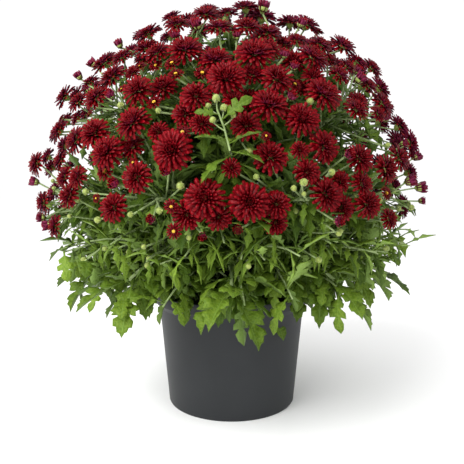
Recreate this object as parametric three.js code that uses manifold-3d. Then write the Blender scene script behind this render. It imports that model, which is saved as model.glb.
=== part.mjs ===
import * as THREE from 'three';
import { mergeVertices } from 'three/addons/utils/BufferGeometryUtils.js';
import Module from 'manifold-3d';

// A garden chrysanthemum in full flower in a thin plastic pot.
// Millimetres, +Z up. The middle of the pot's underside is the origin and the front faces -Y.
// Every shoot rises from its own hole in the soil. It carries leaves, and 0.3 mm above its cut end
// the spray of flower stalks, flowers and buds goes on in the same line.

// Pot: a tapering nursery pot, 20 cm across its rim
const POT_BASE_RADIUS = 80;
const POT_WALL_RADIUS = 91.2;
const POT_RIM_RADIUS = 98.5;
const POT_RIM_FOOT = 123;
const POT_HEIGHT = 141;
const POT_WALL = 1.5;
const POT_SIDES = 28;
const DRAIN_HOLES = 6;
const DRAIN_HOLE_RADIUS = 5;
const DRAIN_RING_RADIUS = 62;

// Soil
const SOIL_TOP = 125;
const GAP = 0.3;
const STEM_DEPTH = 14;
const STEM_HOLE_RADIUS = 5;

// Flower dome: the faces of the open flowers lie on this ball
const DOME_CENTRE_Z = 255;
const DOME_RADIUS = 222;
const DOME_RISE = 225;
const LOWEST_FLOWER = -9;

// Shoots: rings of [number, latitude on the dome, first longitude, distance from the pot's middle]
const SHOOT_RINGS = [[9, 2, 20, 44], [8, 31, 0, 29], [5, 59, 36, 15], [1, 90, 0, 0]];
const SPRAY_DEPTH = 72;
const STEM_BEND_LENGTH = 95;
const STEM_RADIUS = 2.3;
const JOINT_LENGTH = 6;
const STATION_SHARE = 0.35;
const LEAST_OUTWARD = 0.12;
const TOUCH_VOLUME = 0.001;

// Flower stalks
const STALK_RADIUS = 1.15;
const STALK_START = 16;
const STALK_SLOPE = 0.72;
const SHORTEST_POST = 3;
const LEAST_TILT = 0.05;
const MORE_TILT = 0.17;
const SKYWARD = 0.15;

// Flowers read from the front: [degrees round from the front, degrees up, width, mm further out]
const OPEN_FLOWERS = [
  [-14, 13, 35], [-6, 2.5, 35], [4, 1.5, 34], [-25.5, 20, 33], [-15, 41, 33], [7, 39, 36],
  [-5, 38.5, 32], [-1.5, 31, 35], [9.5, 24, 33], [12.5, 31, 30], [25.5, 27.5, 34], [27, 39, 32],
  [17.5, 20.5, 31], [-32, 13, 32], [-22.5, 7, 28], [9, 11.5, 30], [22.5, 14, 29], [33, 11.5, 28],
  [22.5, 3, 30], [35, 0.5, 26], [28, 0, 25], [43, 9, 28], [51, 12, 28], [-26.5, 28.5, 29],
  [-39.5, 34, 30], [-43, 28, 26], [-53, 41, 30], [-38, 18, 30], [-46, 16.5, 28], [-29, 0, 27],
  [3.5, 18.5, 26], [-27, 15, 24], [-9, 26, 28], [-12, 22.5, 25], [-21, 31.5, 27], [22, 41, 25],
  [-5, 50, 27], [6, 50.5, 26], [15, 51, 28], [-25, 54, 25], [-38, 51, 29], [-35, 46, 26],
  [-5, 45, 28], [-25, 40.5, 25], [-41, 41, 23], [13, 43, 24], [24, 45.5, 20], [34.5, 45, 24],
  [50, 47, 31, 2], [52, 41, 24], [63, 40, 26, 3], [47, 32, 20], [51, 27, 26], [35.5, 24, 24],
  [70, 17, 33], [40, 27.5, 22], [34.5, 34, 22], [25.5, 33.5, 23], [-54, 28, 24], [-68, 30, 29, 8],
  [-60, 20, 24, 2], [-62, 10, 25, 15], [-53, 11.5, 22], [-42, 7, 22], [-49, 7, 22], [-46, 2.5, 25],
  [-62, 0, 25, 6], [-57, -6, 24], [-10.5, -1.5, 26], [10.5, 1, 24], [10.8, -3.5, 22],
  [17.5, 8, 23], [33, 5.5, 22], [27.5, 6, 20], [42, -3, 20, 4], [-14, 60, 28], [16, 75, 30],
  [1, 25.5, 22], [5, 28, 24], [6, 33.5, 22], [-3, -2, 23], [-53, 34, 20], [-33, 36, 18],
  [-76, 13, 22, 3], [-7, 19, 21], [16, 13, 16], [-18.5, 18, 20], [22.5, 33, 17], [37, 41.5, 18],
  [41, 37.5, 20], [-54, 24, 18], [0, 9, 17], [45, 23.5, 17], [-36, 43, 17], [22.5, 49, 20],
];
const YOUNG_FLOWERS = [
  [-33, 8.5, 19], [-12, 17.5, 15], [-21, 25.5, 15], [-8.5, 33.5, 15], [-17.5, 35.5, 16],
  [-15.5, 32, 15], [-13, -5, 14], [-1.3, 12, 12], [-28.5, 35.5, 13], [-24.5, 37, 14],
  [-24.5, 10.5, 10], [-66, 24, 10], [-42, 23, 9], [-32, 29, 9], [-34, 2, 9], [-1.5, -4, 12],
  [41.5, 3, 14], [-13.5, 0.5, 13], [8, 16, 9], [18, 30.5, 13],
];
const CUP_FLOWERS = [
  [-22, 60, 13, 4], [22, 66, 14, 4], [-14, 51, 12, 2], [2, 47.5, 9, 2], [17.5, 48, 15], [30, 52, 11, 6],
  [34, 48, 11, 5], [-20, 45.5, 10, 3], [16, 38, 9, 3], [-48, 46, 10, 5], [-62, 41, 11, 5],
  [-63, 36, 10, 8], [-36, 28, 10], [-64, 5.5, 11, 14], [-58, 3, 8], [-46, 0.5, 8], [-28.5, 5.5, 11],
  [-15.5, 8.5, 10], [-18.5, -2.5, 9], [-6.5, -6, 8], [1.4, -4.5, 9, 2], [15.5, 26, 10],
  [18.5, 35, 9], [42, 33, 12, 3], [49, 38, 10, 3], [55, 25, 13, 3], [57, 16, 9], [88, 13, 13, 14],
  [78, 4, 14, 6], [80, 0, 9, 8], [56, 6, 13, 2], [28.5, 12, 10, 3], [32, -1, 10, 4], [25, -3, 10, 3],
  [-66, -4, 11, 7], [-75, -7, 13, 2],
];
const BUDS = [
  [-30.5, 24.5, 7], [-25, 24, 6], [-18.5, 22.5, 6], [-37.5, 3.5, 7, 2], [-33.5, -3, 7, 2], [-24, -1.5, 6],
  [-11.5, 5, 8], [-16.5, -0.5, 7], [5.5, 7, 6], [4, 12.5, 7], [20.5, 25, 7], [23.5, 8, 7, 2],
  [58, -1, 7], [26, -6, 6], [45, 15, 6], [33.5, 8.5, 6], [-57, 6, 5], [15.6, 5.6, 8, 8], [13.5, 4.4, 6, 6],
  [15.9, 3.2, 5, 5],
];

// A green shoot that has not flowered yet comes out between the flowers at the front. Its way is
// [degrees round, degrees up, depth]. Its buds are [mm below its tip, and then as the flowers].
const SPRIG_FOOT_RADIUS = 51;
const SPRIG_BUDDING_STEPS = 4;
const SPRIG_WAY = [
  [0, 14, 72], [0, 14, 40], [0, 12.5, 12], [-0.4, 12.5, -4], [-1.6, 17, -9], [-3.2, 20.8, -11],
];
const SPRIG_BUDS = [
  [0, -3.4, 22.9, 9, 15], [6, -5.2, 21.6, 6, 12], [9, -1.7, 20.9, 8, 14], [15, 0.4, 19.6, 6, 11],
  [21, -4.1, 18.4, 7, 13],
];

// The sides, back and crown carry on in the same way, by a rule
const FRONT_HALF_ANGLE = 74;
const FRONT_TOP = 61;
const OPEN_ON_WHOLE_DOME = 186;
const SMALL_ON_WHOLE_DOME = 36;
const SMALL_KINDS = ['young', 'cup', 'young', 'cup', 'bud'];
const SMALL_WIDTHS = { young: 14, cup: 11, bud: 7 };
const GOLDEN_TURN = 137.508;
const STEP_DEEPER = 6;
const MOST_STEPS = 5;
const ROOT_SHIFTS = [0, -5, 5, -10, 10];
const FLOWER_MARGIN = 1.2;
const STALK_MARGIN = 2.5;
const FLOWER_SHRINKS = [1, 0.93, 0.86, 0.78];

// Leaves. Each joint is [share of the stem's length, its leaves], from the soil up, and each leaf
// is [degrees to the side, degrees up, length, droop].
const LEAF_THICKNESS = 1.6;
const LEAF_WIDTH_SHARE = 0.6;
const LEAF_STALK_SHARE = 0.22;
const LEAF_MIDDLE = 0.52;
const LEAF_EDGE = [[0.36, 0.8], [0.49, 0.4], [0.66, 1]];
const LEAF_TURNS = [0, 25, -25, 50, -50, 80, -80, 120, 180];
const SKIRT_SHOOTS = 9;
const SKIRT_FOOT_RADIUS = 61;
const SKIRT_BEND = [96, 222];
const SKIRT_END = [166, 176];
const SKIRT_JOINTS = [
  [0.58, [[-30, -62, 66, 0.1], [70, -50, 62, 0.15]]],
  [0.72, [[18, -58, 64, 0.1], [-66, 10, 58, 0.2]]],
  [0.86, [[-48, -48, 66, 0.15], [60, -8, 60, 0.2]]],
  [0.97, [[-20, -20, 62, 0.15], [35, -42, 66, 0.15]]],
];
const LOW_JOINTS = [
  [0.7, [[30, -52, 62, 0.15], [-62, -40, 60, 0.15]]],
  [0.84, [[-14, -58, 64, 0.1], [74, -8, 58, 0.2]]],
  [0.97, [[40, -50, 64, 0.15], [-50, -30, 62, 0.15]]],
];
const HIGH_JOINTS = [
  [0.84, [[100, 24, 54, 0.2], [-110, 30, 54, 0.2]]],
  [0.96, [[50, 34, 54, 0.15], [-55, 20, 56, 0.2]]],
];
const SPRIG_JOINTS = [
  [0.875, [[-70, -30, 34, 0.2], [75, -10, 30, 0.2]]],
  [0.917, [[-80, 15, 26, 0.15], [70, 25, 28, 0.15]]],
];

const wasm = await Module();
wasm.setup();

const degrees = THREE.MathUtils.degToRad;
const UP = new THREE.Vector3(0, 0, 1);

// A number from 0 to 1 that changes evenly from one count to the next
function spread(count, stride) {
  return (count * stride) % 1;
}

function heading(longitude, latitude) {
  const around = degrees(longitude);
  const up = degrees(latitude);
  return new THREE.Vector3(Math.sin(around) * Math.cos(up), -Math.cos(around) * Math.cos(up), Math.sin(up));
}

function inDome(longitude, latitude, depth) {
  const way = heading(longitude, latitude);
  const across = DOME_RADIUS - depth;
  return new THREE.Vector3(way.x * across, way.y * across, DOME_CENTRE_Z + way.z * (DOME_RISE - depth));
}

// Solids

function solidFrom(geometry) {
  const bare = geometry.clone();
  bare.deleteAttribute('normal');
  bare.deleteAttribute('uv');
  const merged = mergeVertices(bare, 1e-4);
  const mesh = new wasm.Mesh({
    numProp: 3,
    vertProperties: new Float32Array(merged.attributes.position.array),
    triVerts: new Uint32Array(merged.index.array),
  });
  return new wasm.Manifold(mesh);
}

// One closed solid from skins that meet along their edges
function closedSolid(skins) {
  const corners = [];
  const faces = [];
  for (const skin of skins) {
    const start = corners.length / 3;
    skin.points.forEach((point) => corners.push(point.x, point.y, point.z));
    skin.faces.forEach((face) => faces.push(...face.map((corner) => corner + start)));
  }
  const geometry = new THREE.BufferGeometry();
  geometry.setAttribute('position', new THREE.Float32BufferAttribute(corners, 3));
  geometry.setIndex(faces);
  return solidFrom(geometry);
}

function meshFrom(solid, name, material) {
  const { vertProperties, triVerts } = solid.getMesh();
  const geometry = new THREE.BufferGeometry();
  geometry.setAttribute('position', new THREE.BufferAttribute(vertProperties, 3));
  geometry.setIndex(new THREE.BufferAttribute(triVerts, 1));
  geometry.computeVertexNormals();
  const mesh = new THREE.Mesh(geometry, material);
  mesh.name = name;
  return mesh;
}

// What has been set in place so far, so that the next piece can keep clear of it
const placed = [];

function boxOf(solid) {
  const { min, max } = solid.boundingBox();
  return new THREE.Box3(new THREE.Vector3(...min), new THREE.Vector3(...max));
}

function keep(solid) {
  placed.push({ solid, box: boxOf(solid) });
}

function crosses(solid) {
  const box = boxOf(solid);
  return placed.some((other) => other.box.intersectsBox(box)
    && other.solid.intersect(solid).volume() > 0);
}

// Rings

// A ring has a count of points, the share of a step that it is turned, and a place [reach, height]
// for each point. The same names serve stalks, flowers and stems.
const STALK_RING = { count: 3, turn: 0, place: () => [STALK_RADIUS, 0] };

function ringPoints(ring, centre, way, side) {
  const points = [];
  for (let i = 0; i < ring.count; i += 1) {
    const [reach, up] = ring.place(i);
    const angle = (2 * Math.PI * (i + ring.turn)) / ring.count;
    const arm = side.clone().applyAxisAngle(way, angle).multiplyScalar(reach);
    points.push(centre.clone().add(arm).addScaledVector(way, up));
  }
  return points;
}

// A direction square to the way
function sideOf(way) {
  return new THREE.Vector3(0.3, 0.2, 1).cross(way).normalize();
}

// Faces between two rings of different counts, taking the ring that is behind one step on
function stitch(lower, upper) {
  const faces = [];
  let i = 0;
  let j = 0;
  while (i < lower.count || j < upper.count) {
    const nextLower = (lower.turn + i + 1) / lower.count;
    const nextUpper = (upper.turn + j + 1) / upper.count;
    const a = lower.start + (i % lower.count);
    const b = upper.start + (j % upper.count);
    if (j === upper.count || (i < lower.count && nextLower <= nextUpper)) {
      i += 1;
      faces.push([a, lower.start + (i % lower.count), b]);
    } else {
      j += 1;
      faces.push([a, upper.start + (j % upper.count), b]);
    }
  }
  return faces;
}

function middleOf(points) {
  const sum = new THREE.Vector3();
  points.forEach((point) => sum.add(point));
  return sum.divideScalar(points.length);
}

function outwardOf([a, b, c]) {
  return b.clone().sub(a).cross(c.clone().sub(a)).normalize();
}

// The direction in which a stalk's next ring starts, so that the stalk is twisted least
function sideTowards(corners, way) {
  const foot = middleOf(corners);
  const sum = new THREE.Vector3();
  corners.forEach((corner, i) => {
    const arm = corner.clone().sub(foot).projectOnPlane(way).normalize();
    sum.add(arm.applyAxisAngle(way, (-2 * Math.PI * i) / corners.length));
  });
  return sum.normalize();
}

// The three corners of a leaf's foot, taken in the order that twists its stalk least
function untwisted(corners, ring) {
  const foot = middleOf(corners);
  const end = middleOf(ring);
  const turns = [0, 1, 2].map((turn) => [0, 1, 2].map((i) => corners[(i + turn) % 3]));
  const twistOf = (order) => order.reduce((sum, corner, i) => sum
    + corner.clone().sub(foot).distanceTo(ring[i].clone().sub(end)), 0);
  return turns.sort((one, other) => twistOf(one) - twistOf(other))[0];
}

// Flower shapes

// A star of petals, every tip followed by a notch
function star(petals, radius, tipRise, notchRise) {
  const place = (i) => (i % 2 === 0 ? [radius, tipRise * radius] : [0.7 * radius, notchRise * radius]);
  return { count: 2 * petals, turn: 0, place };
}

// An open flower: drooping petals, raised petals over their notches, and the middle
function openRings(radius) {
  const raised = { count: 6, turn: 0.5, place: () => [0.62 * radius, 0.3 * radius] };
  return { rings: [star(6, radius, -0.06, 0.06), raised], middle: 0.26 * radius };
}

// A small open flower has a single ring round a high middle
const SINGLE_RING_RADIUS = 15.3;

function smallOpenRings(radius) {
  return { rings: [star(5, radius, -0.04, 0.06)], middle: 0.42 * radius };
}

// A flower just open, its petals still in one flat ring round the eye
function youngRings(radius) {
  return { rings: [star(5, radius, 0.08, 0)], middle: 0.25 * radius };
}

// A half-open flower: upright petals in a green cup, like a small tumbler
function cupRings(radius) {
  const cup = { count: 4, turn: 0, place: () => [0.8 * radius, -0.3 * radius] };
  const mouth = { count: 4, turn: 0, place: () => [radius, 0.8 * radius] };
  return { rings: [cup, mouth], middle: 0.6 * radius };
}

function budRings(radius) {
  return { rings: [{ count: 4, turn: 0, place: () => [radius, 0] }], middle: radius };
}

// How far the stalk's end is below the flower's middle, and how far the flower reaches above and
// below that middle, all in flower radii
const FLOWER_KINDS = {
  open: { base: 0.45, top: 0.6, foot: 0.5 },
  young: { base: 0.45, top: 0.6, foot: 0.5 },
  cup: { base: 0.95, top: 1.2, foot: 1.3 },
  bud: { base: 1, top: 1.2, foot: 1.3 },
};

function flowerRings({ kind, radius }) {
  if (kind === 'open') {
    return radius > SINGLE_RING_RADIUS ? openRings(radius) : smallOpenRings(radius);
  }
  return { young: youngRings, cup: cupRings, bud: budRings }[kind](radius);
}

// The skin of a stalk and its flower, from the three corners where the stalk leaves the stem
function flowerSkin(flower, corners) {
  const { rings, middle } = flowerRings(flower);
  const stalkWay = flower.base.clone().sub(middleOf(corners)).normalize();
  const stalkSide = sideTowards(corners, stalkWay);
  const bend = new THREE.Quaternion().setFromUnitVectors(stalkWay, flower.way);
  const side = stalkSide.clone().applyQuaternion(bend);
  const levels = [
    { ...STALK_RING, points: corners },
    { ...STALK_RING, points: ringPoints(STALK_RING, flower.base, stalkWay, stalkSide) },
    ...rings.map((ring) => ({ ...ring, points: ringPoints(ring, flower.centre, flower.way, side) })),
  ];
  const points = [];
  for (const level of levels) {
    level.start = points.length;
    points.push(...level.points);
  }
  const faces = [];
  for (let i = 1; i < levels.length; i += 1) {
    faces.push(...stitch(levels[i - 1], levels[i]));
  }
  const { start, count } = levels[levels.length - 1];
  const top = points.push(flower.centre.clone().addScaledVector(flower.way, middle)) - 1;
  for (let i = 0; i < count; i += 1) {
    faces.push([start + i, start + ((i + 1) % count), top]);
  }
  return { points, faces };
}

// Places of the shoots and flowers

function makeShoots() {
  const made = [];
  for (const [number, latitude, first, foot] of SHOOT_RINGS) {
    for (let i = 0; i < number; i += 1) {
      made.push({ longitude: first + (360 * i) / number, latitude, foot });
    }
  }
  return made;
}

const shoots = makeShoots();
const SPRIG = shoots.length;
const flowers = [];

// The first of the nearest shoots, where two are as near
function nearestShoot(way) {
  const nearness = shoots.map((shoot) => heading(shoot.longitude, shoot.latitude).dot(way));
  return nearness.findIndex((near) => near > Math.max(...nearness) - 1e-9);
}

// Whether a point is inside a flower's double cone, widened by the margin
function inFlower(point, flower, margin) {
  const arm = point.clone().sub(flower.centre);
  const up = arm.dot(flower.way);
  const out = Math.sqrt(Math.max(0, arm.lengthSq() - up * up));
  const tall = flower.radius * (up > 0 ? flower.top : flower.foot);
  return out / (flower.radius + margin) + Math.abs(up) / (tall + margin) < 1;
}

function rimPoints(flower) {
  const points = [flower.centre.clone().addScaledVector(flower.way, 0.3 * flower.radius), flower.base];
  const side = new THREE.Vector3(1, 0, 0).cross(flower.way).normalize();
  for (const share of [1, 0.6]) {
    for (let i = 0; i < 12; i += 1) {
      const arm = side.clone().applyAxisAngle(flower.way, (i * Math.PI) / 6);
      points.push(flower.centre.clone().addScaledVector(arm, share * flower.radius));
    }
  }
  return points;
}

function stalkPoints(flower) {
  const shares = [0.12, 0.2, 0.28, 0.36, 0.44, 0.52, 0.6, 0.68, 0.76, 0.84, 0.92];
  return shares.map((share) => flower.root.clone().lerp(flower.base, share));
}

function awayFromStalk(point, flower) {
  const stalk = new THREE.Line3(flower.root, flower.base);
  return stalk.closestPointToPoint(point, true, new THREE.Vector3()).distanceTo(point);
}

function stalkMeetsFlower(a, b) {
  return awayFromStalk(b.centre, a) < b.radius + STALK_MARGIN
    && stalkPoints(a).some((point) => inFlower(point, b, STALK_MARGIN));
}

function flowersMeet(a, b) {
  return a.centre.distanceTo(b.centre) < a.radius + b.radius + FLOWER_MARGIN
    && (rimPoints(a).some((point) => inFlower(point, b, FLOWER_MARGIN))
      || rimPoints(b).some((point) => inFlower(point, a, FLOWER_MARGIN)));
}

function clash(a, b) {
  return flowersMeet(a, b) || stalkMeetsFlower(a, b) || stalkMeetsFlower(b, a)
    || stalkPoints(a).some((point) => awayFromStalk(point, b) < STALK_MARGIN);
}

// A flower at its place, facing out of the dome and a little to one side and to the sky
function flowerAt(kind, longitude, latitude, width, out) {
  const count = flowers.length;
  const way = heading(longitude, latitude);
  const tilt = LEAST_TILT + MORE_TILT * spread(count, 0.7548777);
  const lean = degrees(360 * spread(count, 0.5698403));
  const side = UP.clone().cross(way).normalize().applyAxisAngle(way, lean);
  const faced = way.clone().addScaledVector(side, tilt).addScaledVector(UP, SKYWARD).normalize();
  const radius = width / 2;
  const centre = inDome(longitude, latitude, -out);
  const base = centre.clone().addScaledVector(faced, -FLOWER_KINDS[kind].base * radius);
  return { ...FLOWER_KINDS[kind], kind, way: faced, radius, centre, base };
}

function rooted(flower, shootIndex, out, rootShift) {
  const { longitude, latitude } = shoots[shootIndex];
  const offAxis = flower.centre.distanceTo(inDome(longitude, latitude, -out));
  const wanted = STALK_START - out + STALK_SLOPE * offAxis + rootShift;
  const rootDepth = Math.min(SPRAY_DEPTH - SHORTEST_POST, wanted);
  return { ...flower, shoot: shootIndex, rootDepth, root: inDome(longitude, latitude, rootDepth) };
}

// A flower that would press into one already there sits a step or more deeper, on a stalk that
// leaves the shoot a little lower or higher
function addFlower(kind, longitude, latitude, width, out = 0) {
  const shoot = nearestShoot(heading(longitude, latitude));
  for (let step = 0; step <= MOST_STEPS; step += 1) {
    const stepOut = out - step * STEP_DEEPER;
    for (const rootShift of ROOT_SHIFTS) {
      const flower = rooted(flowerAt(kind, longitude, latitude, width, stepOut), shoot, stepOut, rootShift);
      if (!flowers.some((other) => clash(flower, other))) {
        flowers.push(flower);
        return;
      }
    }
  }
}

function isFront(longitude, latitude) {
  const turned = ((longitude + 540) % 360) - 180;
  return Math.abs(turned) < FRONT_HALF_ANGLE && latitude < FRONT_TOP;
}

// Even places over the dome, each a little off its own, without those of the front
function placesByRule(number, stride) {
  const lowest = Math.sin(degrees(LOWEST_FLOWER));
  const places = [];
  for (let i = 0; i < number; i += 1) {
    const up = lowest + ((1 - lowest) * (i + 0.5)) / number;
    const latitude = THREE.MathUtils.radToDeg(Math.asin(up)) + 3 * (spread(i, stride) - 0.5);
    const longitude = GOLDEN_TURN * i + 6 * (spread(i, 0.5698403) - 0.5);
    if (!isFront(longitude, latitude)) {
      places.push([longitude, latitude, i]);
    }
  }
  return places;
}

// The buds of the green shoot, and lengths of its outer stem that the flowers have to leave free
function addSprigBuds() {
  const curve = sprigStem();
  const length = curve.getLength();
  const shoot = SPRIG;
  for (const [below, longitude, latitude, width, out] of SPRIG_BUDS) {
    const root = curve.getPointAt(1 - below / length);
    flowers.push({ ...flowerAt('bud', longitude, latitude, width, out), shoot, root, rootDepth: below });
  }
  const outer = SPRIG_WAY.map(([longitude, latitude, depth]) => inDome(longitude, latitude, depth));
  for (let i = 1; i < outer.length; i += 1) {
    const [root, base] = [outer[i - 1], outer[i]];
    const way = base.clone().sub(root).normalize();
    const centre = root.clone().lerp(base, 0.5);
    flowers.push({ kind: 'stem', shoot: null, way, radius: STEM_RADIUS, centre, root, base, top: 1, foot: 1 });
  }
}

function addAllFlowers() {
  addSprigBuds();
  const rows = { open: OPEN_FLOWERS, young: YOUNG_FLOWERS, cup: CUP_FLOWERS, bud: BUDS };
  for (const [kind, list] of Object.entries(rows)) {
    for (const [longitude, latitude, width, out] of list) {
      addFlower(kind, longitude, latitude, width, out);
    }
  }
  for (const [longitude, latitude, i] of placesByRule(OPEN_ON_WHOLE_DOME, 0.7548777)) {
    addFlower('open', longitude, latitude, 23 + 12 * spread(i, 0.618034));
  }
  for (const [longitude, latitude, i] of placesByRule(SMALL_ON_WHOLE_DOME, 0.3247)) {
    const kind = SMALL_KINDS[i % SMALL_KINDS.length];
    addFlower(kind, longitude, latitude, SMALL_WIDTHS[kind] + 4 * spread(i, 0.618034));
  }
}

// Stems

// A three-cornered post through the stations. Its rings turn by half a step from one to the next,
// so that its sides are triangles facing six ways, and a stalk can grow out of any one of them.
function postThrough(stations) {
  const points = [];
  const side = sideOf(stations[0].way);
  stations.forEach(({ place, way }, k) => {
    side.addScaledVector(way, -side.dot(way)).normalize();
    const ring = { count: 3, turn: k / 2, place: () => [STEM_RADIUS, 0] };
    points.push(...ringPoints(ring, place, way, side));
  });
  const sides = [];
  for (let k = 1; k < stations.length; k += 1) {
    const start = 3 * (k - 1);
    for (let i = 0; i < 3; i += 1) {
      const a = start + i;
      const b = start + ((i + 1) % 3);
      sides.push([a, b, a + 3], [b, b + 3, a + 3]);
    }
  }
  const end = points.length;
  return { points, sides: [...sides, [end - 3, end - 2, end - 1]], foot: [0, 2, 1] };
}

function barePost(post) {
  return closedSolid([{ points: post.points, faces: [post.foot, ...post.sides] }]);
}

// Grows each piece out of the free side that suits it best and where it crosses nothing. A piece
// has one or more ways in which it may stand.
function grown(post, pieces) {
  const cornersOf = (side) => side.map((corner) => post.points[corner]);
  const free = new Set(post.sides);
  const kept = [barePost(post)];
  const skins = [];
  const standing = (ways) => {
    for (const { away, wish, skinFrom } of ways) {
      const near = (side) => middleOf(cornersOf(side)).distanceTo(wish);
      const sides = [...free].filter((side) => outwardOf(cornersOf(side)).dot(away) > LEAST_OUTWARD);
      for (const side of sides.sort((one, other) => near(one) - near(other))) {
        const skin = skinFrom(cornersOf(side));
        const solid = closedSolid([{ points: skin.points, faces: [[0, 2, 1], ...skin.faces] }]);
        if (!kept.some((other) => other.intersect(solid).volume() > TOUCH_VOLUME) && !crosses(solid)) {
          return { side, skin, solid };
        }
      }
    }
    return null;
  };
  for (const ways of pieces) {
    const found = standing(ways);
    if (found) {
      free.delete(found.side);
      kept.push(found.solid);
      skins.push(found.skin);
    }
  }
  const whole = closedSolid([{ points: post.points, faces: [post.foot, ...free] }, ...skins]);
  keep(whole);
  return whole;
}

// A flower's stalk leaves its shoot towards the flower, which is a little smaller if that is what
// keeps it clear of its neighbours
function flowerPiece(flower) {
  const away = flower.base.clone().sub(flower.root).normalize();
  const wish = flower.root.clone().addScaledVector(away, STEM_RADIUS);
  return FLOWER_SHRINKS.map((size) => {
    const fitted = { ...flower, radius: size * flower.radius };
    return { away, wish, skinFrom: (corners) => flowerSkin(fitted, corners) };
  });
}

// Leaves

// A lobed blade on a short stalk with a keel, thickest along its rib, its tip bent down and its
// upper face turned to the sky
function leafSkin(way, length, droop, corners) {
  const along = way.clone().normalize();
  const side = UP.clone().cross(along).normalize();
  const up = along.clone().cross(side);
  const foot = middleOf(corners);
  const at = (share, across, height) => foot.clone().addScaledVector(along, share * length)
    .addScaledVector(side, across).addScaledVector(up, height);
  const bend = (share) => -droop * length * (share - LEAF_STALK_SHARE) ** 2;
  const halfWidth = (LEAF_WIDTH_SHARE * length) / 2;
  const neck = [[0.7, 0], [-0.7, 0], [0, -1]].map(([across, height]) => at(
    LEAF_STALK_SHARE,
    across * LEAF_THICKNESS,
    height * LEAF_THICKNESS,
  ));
  const left = LEAF_EDGE.map(([share, out]) => at(share, out * halfWidth, bend(share)));
  const right = LEAF_EDGE.map(([share, out]) => at(share, -out * halfWidth, bend(share))).reverse();
  const points = [...untwisted(corners, neck), ...neck, ...left, at(1, 0, bend(1)), ...right];
  const upper = points.push(at(LEAF_MIDDLE, 0, bend(LEAF_MIDDLE) + LEAF_THICKNESS / 2)) - 1;
  const under = points.push(at(LEAF_MIDDLE, 0, bend(LEAF_MIDDLE) - LEAF_THICKNESS / 2)) - 1;
  const [neckLeft, neckRight, neckKeel] = [3, 4, 5];
  const faces = stitch({ count: 3, turn: 0, start: 0 }, { count: 3, turn: 0, start: 3 });
  const edge = [neckLeft];
  for (let i = neckKeel + 1; i < upper; i += 1) {
    edge.push(i);
  }
  edge.push(neckRight);
  for (let i = 1; i < edge.length; i += 1) {
    faces.push([upper, edge[i], edge[i - 1]], [under, edge[i - 1], edge[i]]);
  }
  faces.push([upper, neckLeft, neckRight], [under, neckRight, neckKeel], [under, neckKeel, neckLeft]);
  return { points, faces };
}

// The ways in which a leaf may stand on its stem: as wished, or turned further round
function leafPiece(place, [around, rise, length, droop]) {
  const outward = new THREE.Vector3(place.x, place.y, 0).normalize();
  return LEAF_TURNS.map((turn) => {
    const away = outward.clone().applyAxisAngle(UP, degrees(around + turn));
    away.multiplyScalar(Math.cos(degrees(rise))).setZ(Math.sin(degrees(rise)));
    const wish = place.clone().addScaledVector(away, STEM_RADIUS);
    return { away, wish, skinFrom: (corners) => leafSkin(away, length, droop, corners) };
  });
}

// Shoots

// Stations along a curve: its ends, two round every joint, and one between the soil and the first
function stationsOn(curve, joints, steps = 0) {
  const length = curve.getLength();
  const half = JOINT_LENGTH / 2 / length;
  const [[first]] = joints;
  const shares = [0, STATION_SHARE * first, 2 * STATION_SHARE * first];
  joints.forEach(([at]) => shares.push(at - half, at + half));
  for (let k = steps; k >= 0; k -= 1) {
    shares.push(1 - (k * JOINT_LENGTH) / length);
  }
  return shares.map((share) => ({ place: curve.getPointAt(share), way: curve.getTangentAt(share) }));
}

function leavesOn(curve, joints) {
  return joints.flatMap(([at, leaves]) => leaves.map((leaf) => leafPiece(curve.getPointAt(at), leaf)));
}

function inSoil(longitude, radius, height) {
  return heading(longitude, 0).multiplyScalar(radius).setZ(SOIL_TOP + height);
}

// A stem rises from the soil and bends over to its end; more points may follow that end
function stemCurve(longitude, radius, bend, end, more = []) {
  const rise = new THREE.QuadraticBezierCurve3(inSoil(longitude, radius, 5), bend, end);
  const points = [inSoil(longitude, radius, -STEM_DEPTH), inSoil(longitude, radius, 5)];
  points.push(...[0.25, 0.5, 0.75, 1].map((share) => rise.getPoint(share)), ...more);
  return new THREE.CatmullRomCurve3(points, false, 'centripetal');
}

// The green shoot's stem goes on between the flowers and up outside them
function sprigStem() {
  const [end, ...more] = SPRIG_WAY.map(([longitude, latitude, depth]) => inDome(longitude, latitude, depth));
  const [longitude, latitude] = SPRIG_WAY[0];
  const bend = end.clone().addScaledVector(heading(longitude, latitude), -STEM_BEND_LENGTH);
  return stemCurve(longitude, SPRIG_FOOT_RADIUS, bend, end, more);
}

// The stem under a spray ends square to the spray's own stem, a hair below it
function sprayStem({ longitude, latitude, foot }) {
  const way = heading(longitude, latitude);
  const end = inDome(longitude, latitude, SPRAY_DEPTH + GAP);
  const bend = end.clone().addScaledVector(way, -STEM_BEND_LENGTH * Math.cos(degrees(latitude) / 2));
  return stemCurve(longitude, foot, bend, end);
}

function skirtStem(index) {
  const longitude = (360 * index) / SKIRT_SHOOTS;
  const out = ([radius, z]) => heading(longitude, 0).multiplyScalar(radius).setZ(z);
  return stemCurve(longitude, SKIRT_FOOT_RADIUS, out(SKIRT_BEND), out(SKIRT_END));
}

const stemHoles = [];
const greenPieces = [];

// Sets the bare stem in its place, marks its hole and lists what will grow on it
function addStem(name, stations, pieces) {
  const [low, high] = stations;
  const middle = STEM_DEPTH / 2 / low.place.distanceTo(high.place);
  stemHoles.push(low.place.clone().lerp(high.place, middle));
  const post = postThrough(stations);
  keep(barePost(post));
  greenPieces.push({ name, post, pieces });
}

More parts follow.
